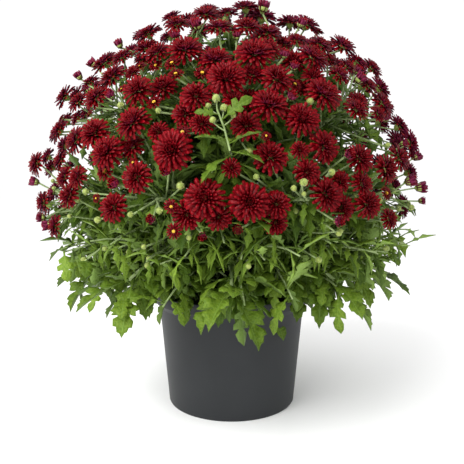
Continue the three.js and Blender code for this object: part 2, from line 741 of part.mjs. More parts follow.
// The top of a shoot with its stalks and flowers
function spraySolid(index) {
  const { longitude, latitude } = shoots[index];
  const own = flowers.filter((flower) => flower.shoot === index);
  own.sort((one, other) => one.rootDepth - other.rootDepth);
  const steps = Math.ceil((SPRAY_DEPTH - own[0].rootDepth) / JOINT_LENGTH);
  const way = heading(longitude, latitude);
  const start = inDome(longitude, latitude, SPRAY_DEPTH);
  const stations = [];
  for (let k = 0; k <= steps; k += 1) {
    stations.push({ place: start.clone().addScaledVector(way, k * JOINT_LENGTH), way });
  }
  return grown(postThrough(stations), own.map(flowerPiece));
}

function numbered(word, index) {
  return `${word}_${String(index + 1).padStart(2, '0')}`;
}

function addAllStems() {
  shoots.forEach((shoot, i) => {
    const joints = i < SHOOT_RINGS[0][0] ? LOW_JOINTS : HIGH_JOINTS;
    const curve = sprayStem(shoot);
    const stations = stationsOn(curve, joints);
    stations[stations.length - 1].way = heading(shoot.longitude, shoot.latitude);
    addStem(numbered('leafy_stem', i), stations, leavesOn(curve, joints));
  });
  for (let i = 0; i < SKIRT_SHOOTS; i += 1) {
    const curve = skirtStem(i);
    addStem(numbered('skirt_shoot', i), stationsOn(curve, SKIRT_JOINTS), leavesOn(curve, SKIRT_JOINTS));
  }
  const curve = sprigStem();
  const buds = flowers.filter((flower) => flower.shoot === SPRIG);
  const stations = stationsOn(curve, SPRIG_JOINTS, SPRIG_BUDDING_STEPS);
  addStem('bud_sprig', stations, [...buds.map(flowerPiece), ...leavesOn(curve, SPRIG_JOINTS)]);
}

// Pot and soil

function turned(profile, sides) {
  const points = profile.map(([radius, z]) => new THREE.Vector2(radius, z));
  return new THREE.LatheGeometry(points, sides).rotateX(Math.PI / 2);
}

function wallRadius(z) {
  return POT_BASE_RADIUS + ((POT_WALL_RADIUS - POT_BASE_RADIUS) * z) / POT_RIM_FOOT;
}

function potSolid() {
  const rimFlare = POT_RIM_RADIUS - 1.5;
  const flareTop = POT_RIM_FOOT + rimFlare - POT_WALL_RADIUS;
  const profile = [
    [0, 0], [POT_BASE_RADIUS - 1.5, 0], [wallRadius(1.5), 1.5], [POT_WALL_RADIUS, POT_RIM_FOOT],
    [rimFlare, flareTop], [POT_RIM_RADIUS, POT_HEIGHT - 1], [POT_RIM_RADIUS - 1, POT_HEIGHT],
    [POT_RIM_RADIUS - POT_WALL, POT_HEIGHT - 0.6], [rimFlare - POT_WALL, flareTop + 0.6],
    [POT_WALL_RADIUS - POT_WALL, POT_RIM_FOOT + 0.6], [wallRadius(POT_WALL) - POT_WALL, POT_WALL],
    [0, POT_WALL],
  ];
  const shell = solidFrom(turned(profile, POT_SIDES));
  const holes = [];
  for (let i = 0; i < DRAIN_HOLES; i += 1) {
    const angle = ((i + 0.5) * 2 * Math.PI) / DRAIN_HOLES;
    const hole = new THREE.CylinderGeometry(DRAIN_HOLE_RADIUS, DRAIN_HOLE_RADIUS, 6, 8);
    hole.rotateX(Math.PI / 2);
    hole.translate(DRAIN_RING_RADIUS * Math.cos(angle), DRAIN_RING_RADIUS * Math.sin(angle), 0);
    holes.push(solidFrom(hole));
  }
  return holes.reduce((pot, hole) => pot.subtract(hole), shell);
}

function soilSolid() {
  const inner = (z) => wallRadius(z) - POT_WALL - GAP;
  const floor = POT_WALL + GAP;
  const rimGap = POT_RIM_FOOT - 0.5;
  const profile = [
    [0, floor], [inner(floor), floor], [inner(rimGap), rimGap], [inner(rimGap), SOIL_TOP - 1],
    [inner(rimGap) - 4, SOIL_TOP], [0, SOIL_TOP],
  ];
  const plug = solidFrom(turned(profile, POT_SIDES));
  const depth = STEM_DEPTH + GAP;
  const holes = stemHoles.map((middle) => {
    const hole = new THREE.CylinderGeometry(STEM_HOLE_RADIUS, STEM_HOLE_RADIUS, 2 * depth, 4);
    return solidFrom(hole.rotateX(Math.PI / 2).translate(middle.x, middle.y, SOIL_TOP));
  });
  return holes.reduce((soil, hole) => soil.subtract(hole), plug);
}

// Materials

function finish(color, roughness) {
  return new THREE.MeshStandardMaterial({ color, roughness, metalness: 0 });
}

const charcoalPlastic = finish(0x3a3a3a, 0.6);
const darkPeat = finish(0x2e2119, 0.95);
const leafGreen = finish(0x4f7226, 0.6);
const crimsonPetal = finish(0xa01222, 0.55);

function buildPlant() {
  addAllFlowers();
  addAllStems();
  const plant = new THREE.Group();
  const pot = potSolid();
  const soil = soilSolid();
  keep(pot);
  keep(soil);
  plant.add(meshFrom(pot, 'pot', charcoalPlastic));
  plant.add(meshFrom(soil, 'potting_mix', darkPeat));
  shoots.forEach((shoot, i) => {
    plant.add(meshFrom(spraySolid(i), numbered('bloom_spray', i), crimsonPetal));
  });
  for (const { name, post, pieces } of greenPieces) {
    plant.add(meshFrom(grown(post, pieces), name, leafGreen));
  }
  return plant;
}

export default buildPlant();
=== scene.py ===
import math
import random

import bmesh
import bpy
from mathutils import Matrix, Vector


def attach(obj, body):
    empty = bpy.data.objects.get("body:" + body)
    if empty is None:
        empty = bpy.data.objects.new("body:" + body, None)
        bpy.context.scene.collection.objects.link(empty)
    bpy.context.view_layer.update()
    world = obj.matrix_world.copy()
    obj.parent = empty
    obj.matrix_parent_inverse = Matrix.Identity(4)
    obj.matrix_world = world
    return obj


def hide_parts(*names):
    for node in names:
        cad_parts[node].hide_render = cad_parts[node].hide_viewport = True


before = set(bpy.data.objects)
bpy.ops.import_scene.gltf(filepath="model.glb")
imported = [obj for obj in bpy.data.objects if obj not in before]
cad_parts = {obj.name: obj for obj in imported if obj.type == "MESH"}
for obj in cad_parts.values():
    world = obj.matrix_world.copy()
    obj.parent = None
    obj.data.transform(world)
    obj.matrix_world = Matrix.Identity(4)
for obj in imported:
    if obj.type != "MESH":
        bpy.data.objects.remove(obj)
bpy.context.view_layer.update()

# Pot
# The plant stands in a thin tapering nursery pot, moulded in matt charcoal plastic. Its plain rim
# band stands out from the wall on a small step.
POT_BASE_RADIUS = 0.080
POT_WALL_RADIUS = 0.0912
POT_RIM_RADIUS = 0.0985
POT_RIM_FOOT = 0.123
POT_RIM_STEP = 0.0058
POT_HEIGHT = 0.141
POT_WALL = 0.0015
POT_MIDDLE = 0.05
POT_FLOOR_RADIUS = POT_BASE_RADIUS - 0.0045
POT_UNDERSIDE = 0.0008
POT_SPIN_STEPS = 96
POT_SHARP_ANGLE = 35
TOUCHING = 1e-6


def plain_material(name):
    material = bpy.data.materials.new(name)
    material.use_nodes = True
    tree = material.node_tree
    return material, tree.nodes, tree.links, tree.nodes["Principled BSDF"]


def make_mottle():
    """Soft cloudy patches on Object coordinates: a mask from 0 to 1."""
    group = bpy.data.node_groups.new("mottle", "ShaderNodeTree")
    for name in ("Scale", "Low", "High"):
        group.interface.new_socket(name, in_out="INPUT", socket_type="NodeSocketFloat")
    group.interface.new_socket("Mask", in_out="OUTPUT", socket_type="NodeSocketFloat")
    nodes, links = group.nodes, group.links
    given = nodes.new("NodeGroupInput")
    result = nodes.new("NodeGroupOutput")
    place = nodes.new("ShaderNodeTexCoord")
    noise = nodes.new("ShaderNodeTexNoise")
    noise.inputs["Detail"].default_value = 4
    span = nodes.new("ShaderNodeMapRange")
    links.new(place.outputs["Object"], noise.inputs["Vector"])
    links.new(given.outputs["Scale"], noise.inputs["Scale"])
    links.new(noise.outputs["Fac"], span.inputs["Value"])
    links.new(given.outputs["Low"], span.inputs["From Min"])
    links.new(given.outputs["High"], span.inputs["From Max"])
    links.new(span.outputs["Result"], result.inputs["Mask"])
    return group


mottle = make_mottle()


def add_mottle(nodes, scale, low=0.35, high=0.65):
    node = nodes.new("ShaderNodeGroup")
    node.node_tree = mottle
    node.inputs["Scale"].default_value = scale
    node.inputs["Low"].default_value = low
    node.inputs["High"].default_value = high
    return node.outputs["Mask"]


MIX_FIRST = 6
MIX_SECOND = 7
MIX_RESULT = 2


def mixed(nodes, links, factor, first, second):
    """A colour mixed from two, each given as a colour or as a socket."""
    node = nodes.new("ShaderNodeMix")
    node.data_type = "RGBA"
    links.new(factor, node.inputs["Factor"])
    for number, value in ((MIX_FIRST, first), (MIX_SECOND, second)):
        if isinstance(value, bpy.types.NodeSocket):
            links.new(value, node.inputs[number])
        else:
            node.inputs[number].default_value = (*value, 1)
    return node.outputs[MIX_RESULT]


def ranged(nodes, links, value, low, high):
    """A mask from 0 to 1 stretched to run from low to high."""
    node = nodes.new("ShaderNodeMapRange")
    links.new(value, node.inputs["Value"])
    node.inputs["To Min"].default_value = low
    node.inputs["To Max"].default_value = high
    return node.outputs["Result"]


def add_bump(nodes, links, height, surface, strength, distance):
    node = nodes.new("ShaderNodeBump")
    node.inputs["Strength"].default_value = strength
    node.inputs["Distance"].default_value = distance
    links.new(height, node.inputs["Height"])
    links.new(node.outputs["Normal"], surface.inputs["Normal"])


def make_pot_plastic():
    material, nodes, links, surface = plain_material("charcoal_plastic")
    cloud = add_mottle(nodes, 9)
    grain = add_mottle(nodes, 900)
    tint = mixed(nodes, links, cloud, (0.018, 0.0195, 0.021), (0.025, 0.027, 0.029))
    links.new(tint, surface.inputs["Base Color"])
    links.new(ranged(nodes, links, cloud, 0.46, 0.58), surface.inputs["Roughness"])
    surface.inputs["Specular IOR Level"].default_value = 0.2
    add_bump(nodes, links, grain, surface, 0.12, 0.0003)
    return material


def wall_radius(z):
    return POT_BASE_RADIUS + (POT_WALL_RADIUS - POT_BASE_RADIUS) * z / POT_RIM_FOOT


def as_mesh(bm, name):
    mesh = bpy.data.meshes.new(name)
    bm.to_mesh(mesh)
    bm.free()
    return mesh


def make_pot():
    """Spins the pot's section round, from its underside up the wall, over the rim and down the
    inside, and closes its floor."""
    flare = POT_RIM_RADIUS - POT_WALL
    flare_top = POT_RIM_FOOT + POT_RIM_STEP
    section = (
        (POT_FLOOR_RADIUS, POT_UNDERSIDE), (POT_BASE_RADIUS - 0.0030, 0), (POT_BASE_RADIUS - 0.0015, 0),
        (POT_BASE_RADIUS - 0.0005, 0.0004), (wall_radius(0.0015), 0.0015),
        (wall_radius(POT_MIDDLE), POT_MIDDLE), (POT_WALL_RADIUS - 0.0001, POT_RIM_FOOT - 0.0012),
        (POT_WALL_RADIUS + 0.0003, POT_RIM_FOOT), (flare - 0.0008, flare_top - 0.0008), (flare, flare_top),
        (POT_RIM_RADIUS, POT_HEIGHT - 0.0011), (POT_RIM_RADIUS - 0.0003, POT_HEIGHT - 0.0003),
        (POT_RIM_RADIUS - 0.0009, POT_HEIGHT), (POT_RIM_RADIUS - POT_WALL, POT_HEIGHT - 0.0006),
        (flare - POT_WALL, flare_top + 0.0006), (POT_WALL_RADIUS - POT_WALL, POT_RIM_FOOT + 0.0006),
        (wall_radius(POT_MIDDLE) - POT_WALL, POT_MIDDLE), (wall_radius(POT_WALL) - POT_WALL, POT_WALL),
        (POT_FLOOR_RADIUS, POT_WALL),
    )
    bm = bmesh.new()
    profile = [bm.verts.new((x, 0, z)) for x, z in section]
    edges = [bm.edges.new(pair) for pair in zip(profile, profile[1:])]
    bmesh.ops.spin(bm, geom=profile + edges, cent=(0, 0, 0), axis=(0, 0, 1), angle=2 * math.pi,
                   steps=POT_SPIN_STEPS, use_merge=True)
    bmesh.ops.remove_doubles(bm, verts=bm.verts, dist=TOUCHING)
    for height in (POT_WALL, POT_UNDERSIDE):
        open_edges = [e for e in bm.edges if e.is_boundary]
        rim = [e for e in open_edges if all(abs(v.co.z - height) < TOUCHING for v in e.verts)]
        bmesh.ops.contextual_create(bm, geom=rim)
    bmesh.ops.recalc_face_normals(bm, faces=bm.faces)
    mesh = as_mesh(bm, "pot_wall")
    mesh.materials.append(make_pot_plastic())
    mesh.shade_smooth()
    mesh.set_sharp_from_angle(angle=math.radians(POT_SHARP_ANGLE))
    pot = bpy.data.objects.new("pot_wall", mesh)
    bpy.context.scene.collection.objects.link(pot)
    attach(pot, "root")
    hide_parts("pot")


make_pot()


# Potting mix
# Dark moist peat with paler bark crumbs fills the pot to 16 mm under its rim. Each stem stands in
# a hole of its own.


def make_peat():
    material, nodes, links, surface = plain_material("peat")
    crumb = add_mottle(nodes, 260, 0.42, 0.6)
    clod = add_mottle(nodes, 60)
    earth = mixed(nodes, links, clod, (0.010, 0.006, 0.004), (0.035, 0.022, 0.013))
    tint = mixed(nodes, links, crumb, earth, (0.085, 0.055, 0.030))
    links.new(tint, surface.inputs["Base Color"])
    surface.inputs["Roughness"].default_value = 0.95
    add_bump(nodes, links, crumb, surface, 0.9, 0.002)
    return material


potting_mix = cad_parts["potting_mix"].data
potting_mix.materials.clear()
potting_mix.materials.append(make_peat())


# Stems
# Green shoots rise from the soil and bend outwards: 23 carry the flower sprays and 9 lower ones
# make the skirt over the rim. They are streaked with paler green, and 4.6 mm thick at the soil.
DOME_CENTRE = Vector((0, 0, 0.255))
DOME_RADIUS = 0.222
DOME_RISE = 0.225
SOIL_TOP = 0.125
STEM_DEPTH = 0.014
STEM_STRAIGHT = 0.005
STEM_POINTS = 10
STEM_BEND = 0.095
SPRAY_DEPTH = 0.072
SPRAY_GAP = 0.0003
SKIRT_SHOOTS = 9
SKIRT_FOOT = 0.061
SKIRT_BEND = (0.096, 0.222)
SKIRT_END = (0.166, 0.176)
STEM_FINISH = 1
FIRST_SIDE = Vector((0.31, 0.87, 0.38))

# Each ring of shoots: how many, their latitude on the dome, the longitude of the first in degrees,
# and how far from the middle of the pot they stand.
SHOOT_RINGS = ((9, 2, 20, 0.044), (8, 31, 0, 0.029), (5, 59, 36, 0.015), (1, 90, 0, 0))


def heading(longitude, latitude):
    """The direction from the dome's centre at a longitude, which is 0 at the front, and a latitude."""
    around = math.radians(longitude)
    up = math.radians(latitude)
    return Vector((math.sin(around) * math.cos(up), -math.cos(around) * math.cos(up), math.sin(up)))


def in_dome(longitude, latitude, depth):
    """The place at a depth under the dome of flowers."""
    way = heading(longitude, latitude)
    across = DOME_RADIUS - depth
    return DOME_CENTRE + Vector((way.x * across, way.y * across, way.z * (DOME_RISE - depth)))


def beside_axis(longitude, out, height):
    return heading(longitude, 0) * out + Vector((0, 0, height))


def station(place, way, side, radius):
    """The matrix that sets a ring across a way, and the ring's side for the next one."""
    side = (side - way * side.dot(way)).normalized()
    up = way.cross(side)
    turn = Matrix((side * radius, up * radius, way)).transposed().to_4x4()
    return Matrix.Translation(place) @ turn, side


def add_stem(bm, path, radii, sides):
    """A closed round stem through the points of a path, with the stems' finish."""
    first_vert = len(bm.verts)
    first_face = len(bm.faces)
    bmesh.ops.create_circle(bm, segments=sides, radius=1, cap_ends=True)
    bm.verts.ensure_lookup_table()
    ring = bm.verts[first_vert:]
    cap = ring[0].link_faces[0]
    side = FIRST_SIDE
    last = Matrix()
    for k, (place, radius) in enumerate(zip(path, radii)):
        way = (path[min(k + 1, len(path) - 1)] - path[max(k - 1, 0)]).normalized()
        matrix, side = station(place, way, side, radius)
        if k > 0:
            made = bmesh.ops.extrude_face_region(bm, geom=[cap])["geom"]
            ring = [v for v in made if isinstance(v, bmesh.types.BMVert)]
            cap = next(f for f in made if isinstance(f, bmesh.types.BMFace))
        bmesh.ops.transform(bm, matrix=matrix @ last.inverted(), verts=ring)
        last = matrix
    bm.faces.ensure_lookup_table()
    for face in bm.faces[first_face:]:
        face.material_index = STEM_FINISH
        face.smooth = True


def curve_points(points, bend, end, count):
    """The first points, and then a smooth arc towards the bend and on to the end."""
    start = points[-1]
    arc = []
    for k in range(1, count + 1):
        t = k / count
        arc.append(start * (1 - t) ** 2 + bend * 2 * t * (1 - t) + end * t**2)
    return points + arc


def rise_from_soil(longitude, radius, bend, end):
    """A stem's path: straight up out of its hole in the soil, and then bent over to its end."""
    foot = heading(longitude, 0) * radius
    low = Vector((foot.x, foot.y, SOIL_TOP - STEM_DEPTH))
    high = Vector((foot.x, foot.y, SOIL_TOP + STEM_STRAIGHT))
    return curve_points([low, low.lerp(high, 0.5), high], bend, end, STEM_POINTS)


def spray_stem(longitude, latitude, foot):
    way = heading(longitude, latitude)
    end = in_dome(longitude, latitude, SPRAY_DEPTH + SPRAY_GAP)
    bend = end - way * STEM_BEND * math.cos(math.radians(latitude) / 2)
    return rise_from_soil(longitude, foot, bend, end)


def skirt_stem(longitude):
    bend = beside_axis(longitude, *SKIRT_BEND)
    end = beside_axis(longitude, *SKIRT_END)
    return rise_from_soil(longitude, SKIRT_FOOT, bend, end)


shoots = []
for number, latitude, first, foot in SHOOT_RINGS:
    for i in range(number):
        shoots.append((first + 360 * i / number, latitude, foot))

# The path of each stem, and the longitude and latitude that it grows towards.
stems = {}
for i, (longitude, latitude, foot) in enumerate(shoots):
    stems[f"leafy_stem_{i + 1:02d}"] = (spray_stem(longitude, latitude, foot), longitude, latitude)
for i in range(SKIRT_SHOOTS):
    longitude = 360 * i / SKIRT_SHOOTS
    stems[f"skirt_shoot_{i + 1:02d}"] = (skirt_stem(longitude), longitude, 0)


def make_stem_green():
    material, nodes, links, surface = plain_material("stem_green")
    streak = add_mottle(nodes, 140)
    tint = mixed(nodes, links, streak, (0.165, 0.230, 0.080), (0.290, 0.370, 0.165))
    links.new(tint, surface.inputs["Base Color"])
    surface.inputs["Roughness"].default_value = 0.55
    surface.inputs["Specular IOR Level"].default_value = 0.15
    add_bump(nodes, links, streak, surface, 0.3, 0.0004)
    return material


stem_green = make_stem_green()


# Leaves
# Each leaf is a lobed, toothed blade on a short stalk, soft and matt, darker above than below, with
# paler sunken veins. The large ones stand where the frame has its plain leaves, and smaller ones
# go up the stems and their thin side shoots in a spiral.
# Leaves deep inside the plant are painted darker, as painted shade.
UP = Vector((0, 0, 1))
LEAF_STALK_SHARE = 0.22
LEAF_THICKNESS = 0.0007
LEAF_HALF_WIDTH = 0.3
LEAF_WAVE = 0.042
LEAF_WAVES = 17
LEAF_WAVE_SHIFT = 2.1
BLANK_THICKNESS = 0.012
CLOSE = 1e-4

# Half of each leaf's edge from its stalk to its tip, in shares of its length.
LEAF_EDGE = (
    (0.0, 0.018), (0.22, 0.020), (0.29, 0.09), (0.33, 0.19), (0.41, 0.225), (0.43, 0.17), (0.48, 0.18),
    (0.43, 0.055), (0.49, 0.12), (0.53, 0.23), (0.62, 0.285), (0.64, 0.22), (0.71, 0.235), (0.69, 0.14),
    (0.64, 0.06), (0.71, 0.12), (0.77, 0.19), (0.86, 0.18), (0.86, 0.12), (0.93, 0.10), (0.94, 0.05),
)
MID_LEAF_EDGE = (
    (0.0, 0.02), (0.24, 0.03), (0.34, 0.20), (0.44, 0.19), (0.43, 0.06), (0.54, 0.26), (0.67, 0.25),
    (0.65, 0.07), (0.78, 0.18), (0.90, 0.14),
)
SMALL_LEAF_EDGE = (
    (0.0, 0.02), (0.26, 0.03), (0.38, 0.18), (0.47, 0.06), (0.66, 0.21), (0.76, 0.10),
)


def on_rib(place):
    return abs(place.y) < CLOSE and place.x > 0.01 or place.x == 0


def make_leaf_blank(name, edge, folds):
    """A flat leaf one unit long: its outline, cut along its rib and at its folds so that it can bend."""
    bm = bmesh.new()
    outline = [*edge, (1.0, 0.0), *[(x, -y) for x, y in reversed(edge)]]
    bm.faces.new([bm.verts.new((x, y, 0)) for x, y in outline])
    geometry = [*bm.verts, *bm.edges, *bm.faces]
    bmesh.ops.bisect_plane(bm, geom=geometry, dist=CLOSE, plane_co=(0, 0, 0), plane_no=(0, 1, 0))
    for share in folds:
        rib = [e for e in bm.edges if all(on_rib(v.co) for v in e.verts)]
        cut = next(e for e in rib if min(v.co.x for v in e.verts) < share < max(v.co.x for v in e.verts))
        start = min(cut.verts, key=lambda v: v.co.x)
        length = cut.other_vert(start).co.x - start.co.x
        bmesh.utils.edge_split(cut, start, (share - start.co.x) / length)
    bmesh.ops.triangulate(bm, faces=bm.faces)
    uv = bm.loops.layers.uv.new("flat")
    for face in bm.faces:
        for loop in face.loops:
            loop[uv].uv = loop.vert.co.xy
    bmesh.ops.recalc_face_normals(bm, faces=bm.faces)
    bmesh.ops.solidify(bm, geom=bm.faces[:], thickness=BLANK_THICKNESS)
    under = bm.faces.layers.float.new("under")
    bm.normal_update()
    middle = sum(v.co.z for v in bm.verts) / len(bm.verts)
    for face in bm.faces:
        face[under] = 1.0 if face.calc_center_median().z < middle - BLANK_THICKNESS / 4 else 0.0
        face.smooth = True
    return as_mesh(bm, name)


leaf_blank = make_leaf_blank("leaf_blank", LEAF_EDGE, (0.34, 0.52, 0.70, 0.86))
mid_leaf_blank = make_leaf_blank("mid_leaf_blank", MID_LEAF_EDGE, (0.36, 0.6))
small_leaf_blank = make_leaf_blank("small_leaf_blank", SMALL_LEAF_EDGE, (0.5,))


def add_copy(bm, mesh):
    """Adds a copy of a mesh, and gives its corners."""
    before = len(bm.verts)
    bm.from_mesh(mesh)
    bm.verts.ensure_lookup_table()
    return bm.verts[before:]


def add_leaf(bm, blank, foot, along, up, length, droop, width, cup, phase, tone):
    """Sets one leaf: its sides lifted in a shallow trough, its lobes wavy and its tip bent down."""
    corners = add_copy(bm, blank)
    side = up.cross(along).normalized()
    up = along.cross(side)
    tones = bm.verts.layers.float["tone"]
    middle = sum(v.co.z for v in corners) / len(corners)
    for v in corners:
        x, y, z = v.co
        out = abs(y) / LEAF_HALF_WIDTH
        lift = cup * out * LEAF_HALF_WIDTH - 0.5 * cup * out**2 * LEAF_HALF_WIDTH
        wave = LEAF_WAVE * out * math.sin(LEAF_WAVES * x + phase + (LEAF_WAVE_SHIFT if y > 0 else 0))
        bend = -droop * (x - LEAF_STALK_SHARE) ** 2 if x > LEAF_STALK_SHARE else 0
        face = LEAF_THICKNESS / 2 if z > middle else -LEAF_THICKNESS / 2
        height = length * (bend + lift + wave) + face
        v.co = foot + along * (x * length) + side * (y * length * width) + up * height
        v[tones] = tone


def linked(v):
    return [edge.other_vert(v) for edge in v.link_edges]


def average(points):
    return sum(points, Vector()) / len(points)


WELD_DISTANCE = 1e-5


def welded(node):
    """A copy of a part of the frame, with its loose triangles joined."""
    bm = bmesh.new()
    bm.from_mesh(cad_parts[node].data)
    bmesh.ops.remove_doubles(bm, verts=bm.verts, dist=WELD_DISTANCE)
    return bm


PLAIN_LEAF_CORNERS = 9


def plain_leaves(node):
    """Foot, direction, upper side, length and droop of each leaf on a node of the frame. Such a leaf
    has a ring of corners round a point on its upper side and one on its under side."""
    bm = welded(node)
    found = []
    for upper in bm.verts:
        ring = set(linked(upper))
        if len(ring) != PLAIN_LEAF_CORNERS:
            continue
        unders = [v for r in ring for v in linked(r) if v not in ring and v is not upper]
        reaching = [v for v in unders if len(v.link_edges) == PLAIN_LEAF_CORNERS + 1]
        under = next((v for v in reaching if ring <= set(linked(v))), None)
        if under is None:
            continue
        keel = next(v for v in linked(under) if v not in ring)
        tip = max(ring, key=lambda v: (v.co - keel.co).length)
        foot = average([v.co for v in linked(keel) if v not in ring and v is not under])
        up = (upper.co - under.co).normalized()
        span = tip.co - foot
        fall = -span.dot(up)
        along = span + up * fall
        length = along.length
        found.append((foot, along.normalized(), up, length, fall / length / (1 - LEAF_STALK_SHARE) ** 2))
    bm.free()
    return found


VEIN_SLANT = 0.9
VEIN_WAVES = 27.0
VEIN_WIDTH = 0.16
RIB_WIDTH = 0.010
SIDE_VEIN_STRENGTH = 0.6
VEIN_PALENESS = 0.75


def add_surface_data(nodes, links):
    """The tone of a leaf or petal, whether a face is on its under side, and the place on its blank."""
    found = []
    for name in ("tone", "under"):
        node = nodes.new("ShaderNodeAttribute")
        node.attribute_name = name
        found.append(node.outputs["Fac"])
    flat = nodes.new("ShaderNodeUVMap")
    flat.uv_map = "flat"
    parts = nodes.new("ShaderNodeSeparateXYZ")
    links.new(flat.outputs["UV"], parts.inputs["Vector"])
    return *found, parts.outputs["X"], parts.outputs["Y"]


def make_leaf_green():
    material, nodes, links, surface = plain_material("leaf_green")
    tone, under, along, aside = add_surface_data(nodes, links)

    def worked_out(kind, first, second=None):
        node = nodes.new("ShaderNodeMath")
        node.operation = kind
        links.new(first, node.inputs[0])
        if isinstance(second, bpy.types.NodeSocket):
            links.new(second, node.inputs[1])
        elif second is not None:
            node.inputs[1].default_value = second
        return node.outputs["Value"]

    across = worked_out("ABSOLUTE", aside)
    slant = worked_out("SUBTRACT", along, worked_out("MULTIPLY", across, VEIN_SLANT))
    wave = worked_out("ABSOLUTE", worked_out("SINE", worked_out("MULTIPLY", slant, VEIN_WAVES)))
    side_vein = worked_out("LESS_THAN", wave, VEIN_WIDTH)
    rib = worked_out("LESS_THAN", across, RIB_WIDTH)
    vein = worked_out("MAXIMUM", rib, worked_out("MULTIPLY", side_vein, SIDE_VEIN_STRENGTH))
    patches = add_mottle(nodes, 60)
    wrinkles = add_mottle(nodes, 420)
    # Painted shade: a low tone darkens leaves deep in the plant; it also differs at random by leaf.
    shaded_green = mixed(nodes, links, wrinkles, (0.012, 0.034, 0.001), (0.026, 0.060, 0.002))
    lit_green = mixed(nodes, links, wrinkles, (0.104, 0.184, 0.013), (0.184, 0.272, 0.030))
    face = mixed(nodes, links, tone, shaded_green, lit_green)
    back = mixed(nodes, links, tone, (0.060, 0.110, 0.020), (0.200, 0.300, 0.065))
    blade = mixed(nodes, links, under, face, back)
    pale = mixed(nodes, links, tone, (0.040, 0.085, 0.012), (0.190, 0.300, 0.050))
    tint = mixed(nodes, links, worked_out("MULTIPLY", vein, VEIN_PALENESS), blade, pale)
    links.new(tint, surface.inputs["Base Color"])
    links.new(ranged(nodes, links, patches, 0.34, 0.52), surface.inputs["Roughness"])
    surface.inputs["Specular IOR Level"].default_value = 0.12
    add_bump(nodes, links, worked_out("SUBTRACT", wrinkles, vein), surface, 0.6, 0.0006)
    return material


leaf_green = make_leaf_green()


def new_leafage():
    """An empty piece whose leaves keep their tone, their under side and their place on the blank."""
    bm = bmesh.new()
    bm.verts.layers.float.new("tone")
    bm.faces.layers.float.new("under")
    bm.loops.layers.uv.new("flat")
    return bm


def finish_piece(bm, name, materials, slot, *nodes):
    """Makes the bmesh a piece, which stands for the given nodes."""
    bmesh.ops.recalc_face_normals(bm, faces=bm.faces)
    mesh = as_mesh(bm, name)
    for material in materials:
        mesh.materials.append(material)
    piece = bpy.data.objects.new(name, mesh)
    bpy.context.scene.collection.objects.link(piece)
    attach(piece, "root")
    if nodes:
        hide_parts(*nodes)


SHADED_RADIUS = 0.06
SUN_DEPTH = 0.13


def light_on(place):
    """How much sun a place gets, more towards the outside; leaf tones follow it as painted shade."""
    out = Vector((place.x, place.y, 0)).length
    return min(1.0, max(0.0, (out - SHADED_RADIUS) / SUN_DEPTH))


def point_on(path, distance):
    """The place at a distance along a path, and the way that the path takes there."""
    for low, high in zip(path, path[1:]):
        step = (high - low).length
        if distance <= step:
            break
        distance -= step
    return low.lerp(high, min(1.0, distance / step)), (high - low).normalized()


def length_of(path):
    return sum((high - low).length for low, high in zip(path, path[1:]))


FLOWER_LAYER = 0.014


def below_flowers(place):
    """Whether a leaf's tip keeps under the flowers."""
    return place.z < DOME_CENTRE.z or (place - DOME_CENTRE).length < DOME_RADIUS - FLOWER_LAYER


SKIRT_TOP = 0.205
DOME_FOOT = 0.26
SPIRAL_TURN = 137.5
OFF_UPRIGHT = Vector((0.3, 0.2, 1))
LEAF_GAPS = (0.0056, 0.0092)
TIP_GAP = 0.002
UPPER_LENGTH = 0.82
SHADE_LENGTH = 0.35
SHADE_WIDTH = 0.55


def add_leaves_along(bm, path, first, shortest, longest, rng):
    """Leaves round a stem in a spiral, from a share of its length to its tip. Those above the skirt
    are simpler and narrower, and among the flowers they are larger in the shade."""
    whole = length_of(path)
    at = first * whole
    around = rng.uniform(0, 360)
    while at < whole - TIP_GAP:
        foot, stem_way = point_on(path, at)
        aside = stem_way.cross(OFF_UPRIGHT).normalized()
        out = Matrix.Rotation(math.radians(around), 3, stem_way) @ aside
        along = (out + stem_way * rng.uniform(0.1, 0.9) + UP * rng.uniform(-0.5, 0.2)).normalized()
        low = foot.z < SKIRT_TOP
        shade = 1 - light_on(foot) if foot.z > DOME_FOOT else 0
        length = rng.uniform(shortest, longest) * (1 if low else UPPER_LENGTH + SHADE_LENGTH * shade)
        # Painted shade: leaves deep in the plant get a lower tone, with a random tone on top.
        tone = 0.10 + 1.1 * light_on(foot + along * length) * rng.uniform(0.1, 1.0)
        side = UP.cross(along).normalized()
        up = (along.cross(side) + side * rng.uniform(-0.4, 0.4)).normalized()
        width = rng.uniform(0.75, 1.0) if low else rng.uniform(0.45, 0.85) + SHADE_WIDTH * shade
        blank = mid_leaf_blank if low else small_leaf_blank
        if below_flowers(foot + along * length):
            droop = rng.uniform(0.1, 0.6)
            cup = rng.uniform(0.1, 0.5)
            add_leaf(bm, blank, foot, along, up, length, droop, width, cup, rng.uniform(0, 6), tone)
        at += rng.uniform(*LEAF_GAPS)
        around += SPIRAL_TURN


THIN_SIDES = 6
STEM_SIDES = 8
STEM_RADIUS = 0.0023
STEM_TAPER = 0.0006
SIDE_SHOOT_RADIUS = 0.0014
SIDE_SHOOT_TAPER = 0.0001
SIDE_SHOOT_POINTS = 6
SIDE_SHOOT_ARCH = 0.03


def add_side_shoot(bm, path, share, end, rng):
    """A thin shoot without flowers, from the main stem out between the leaves."""
    foot, _ = point_on(path, share * length_of(path))
    bend = foot.lerp(end, 0.5) + UP * SIDE_SHOOT_ARCH
    way = curve_points([foot], bend, end, SIDE_SHOOT_POINTS)
    radii = [SIDE_SHOOT_RADIUS - SIDE_SHOOT_TAPER * k for k in range(len(way))]
    add_stem(bm, way, radii, THIN_SIDES)
    add_leaves_along(bm, way, 0.3, 0.028, 0.046, rng)


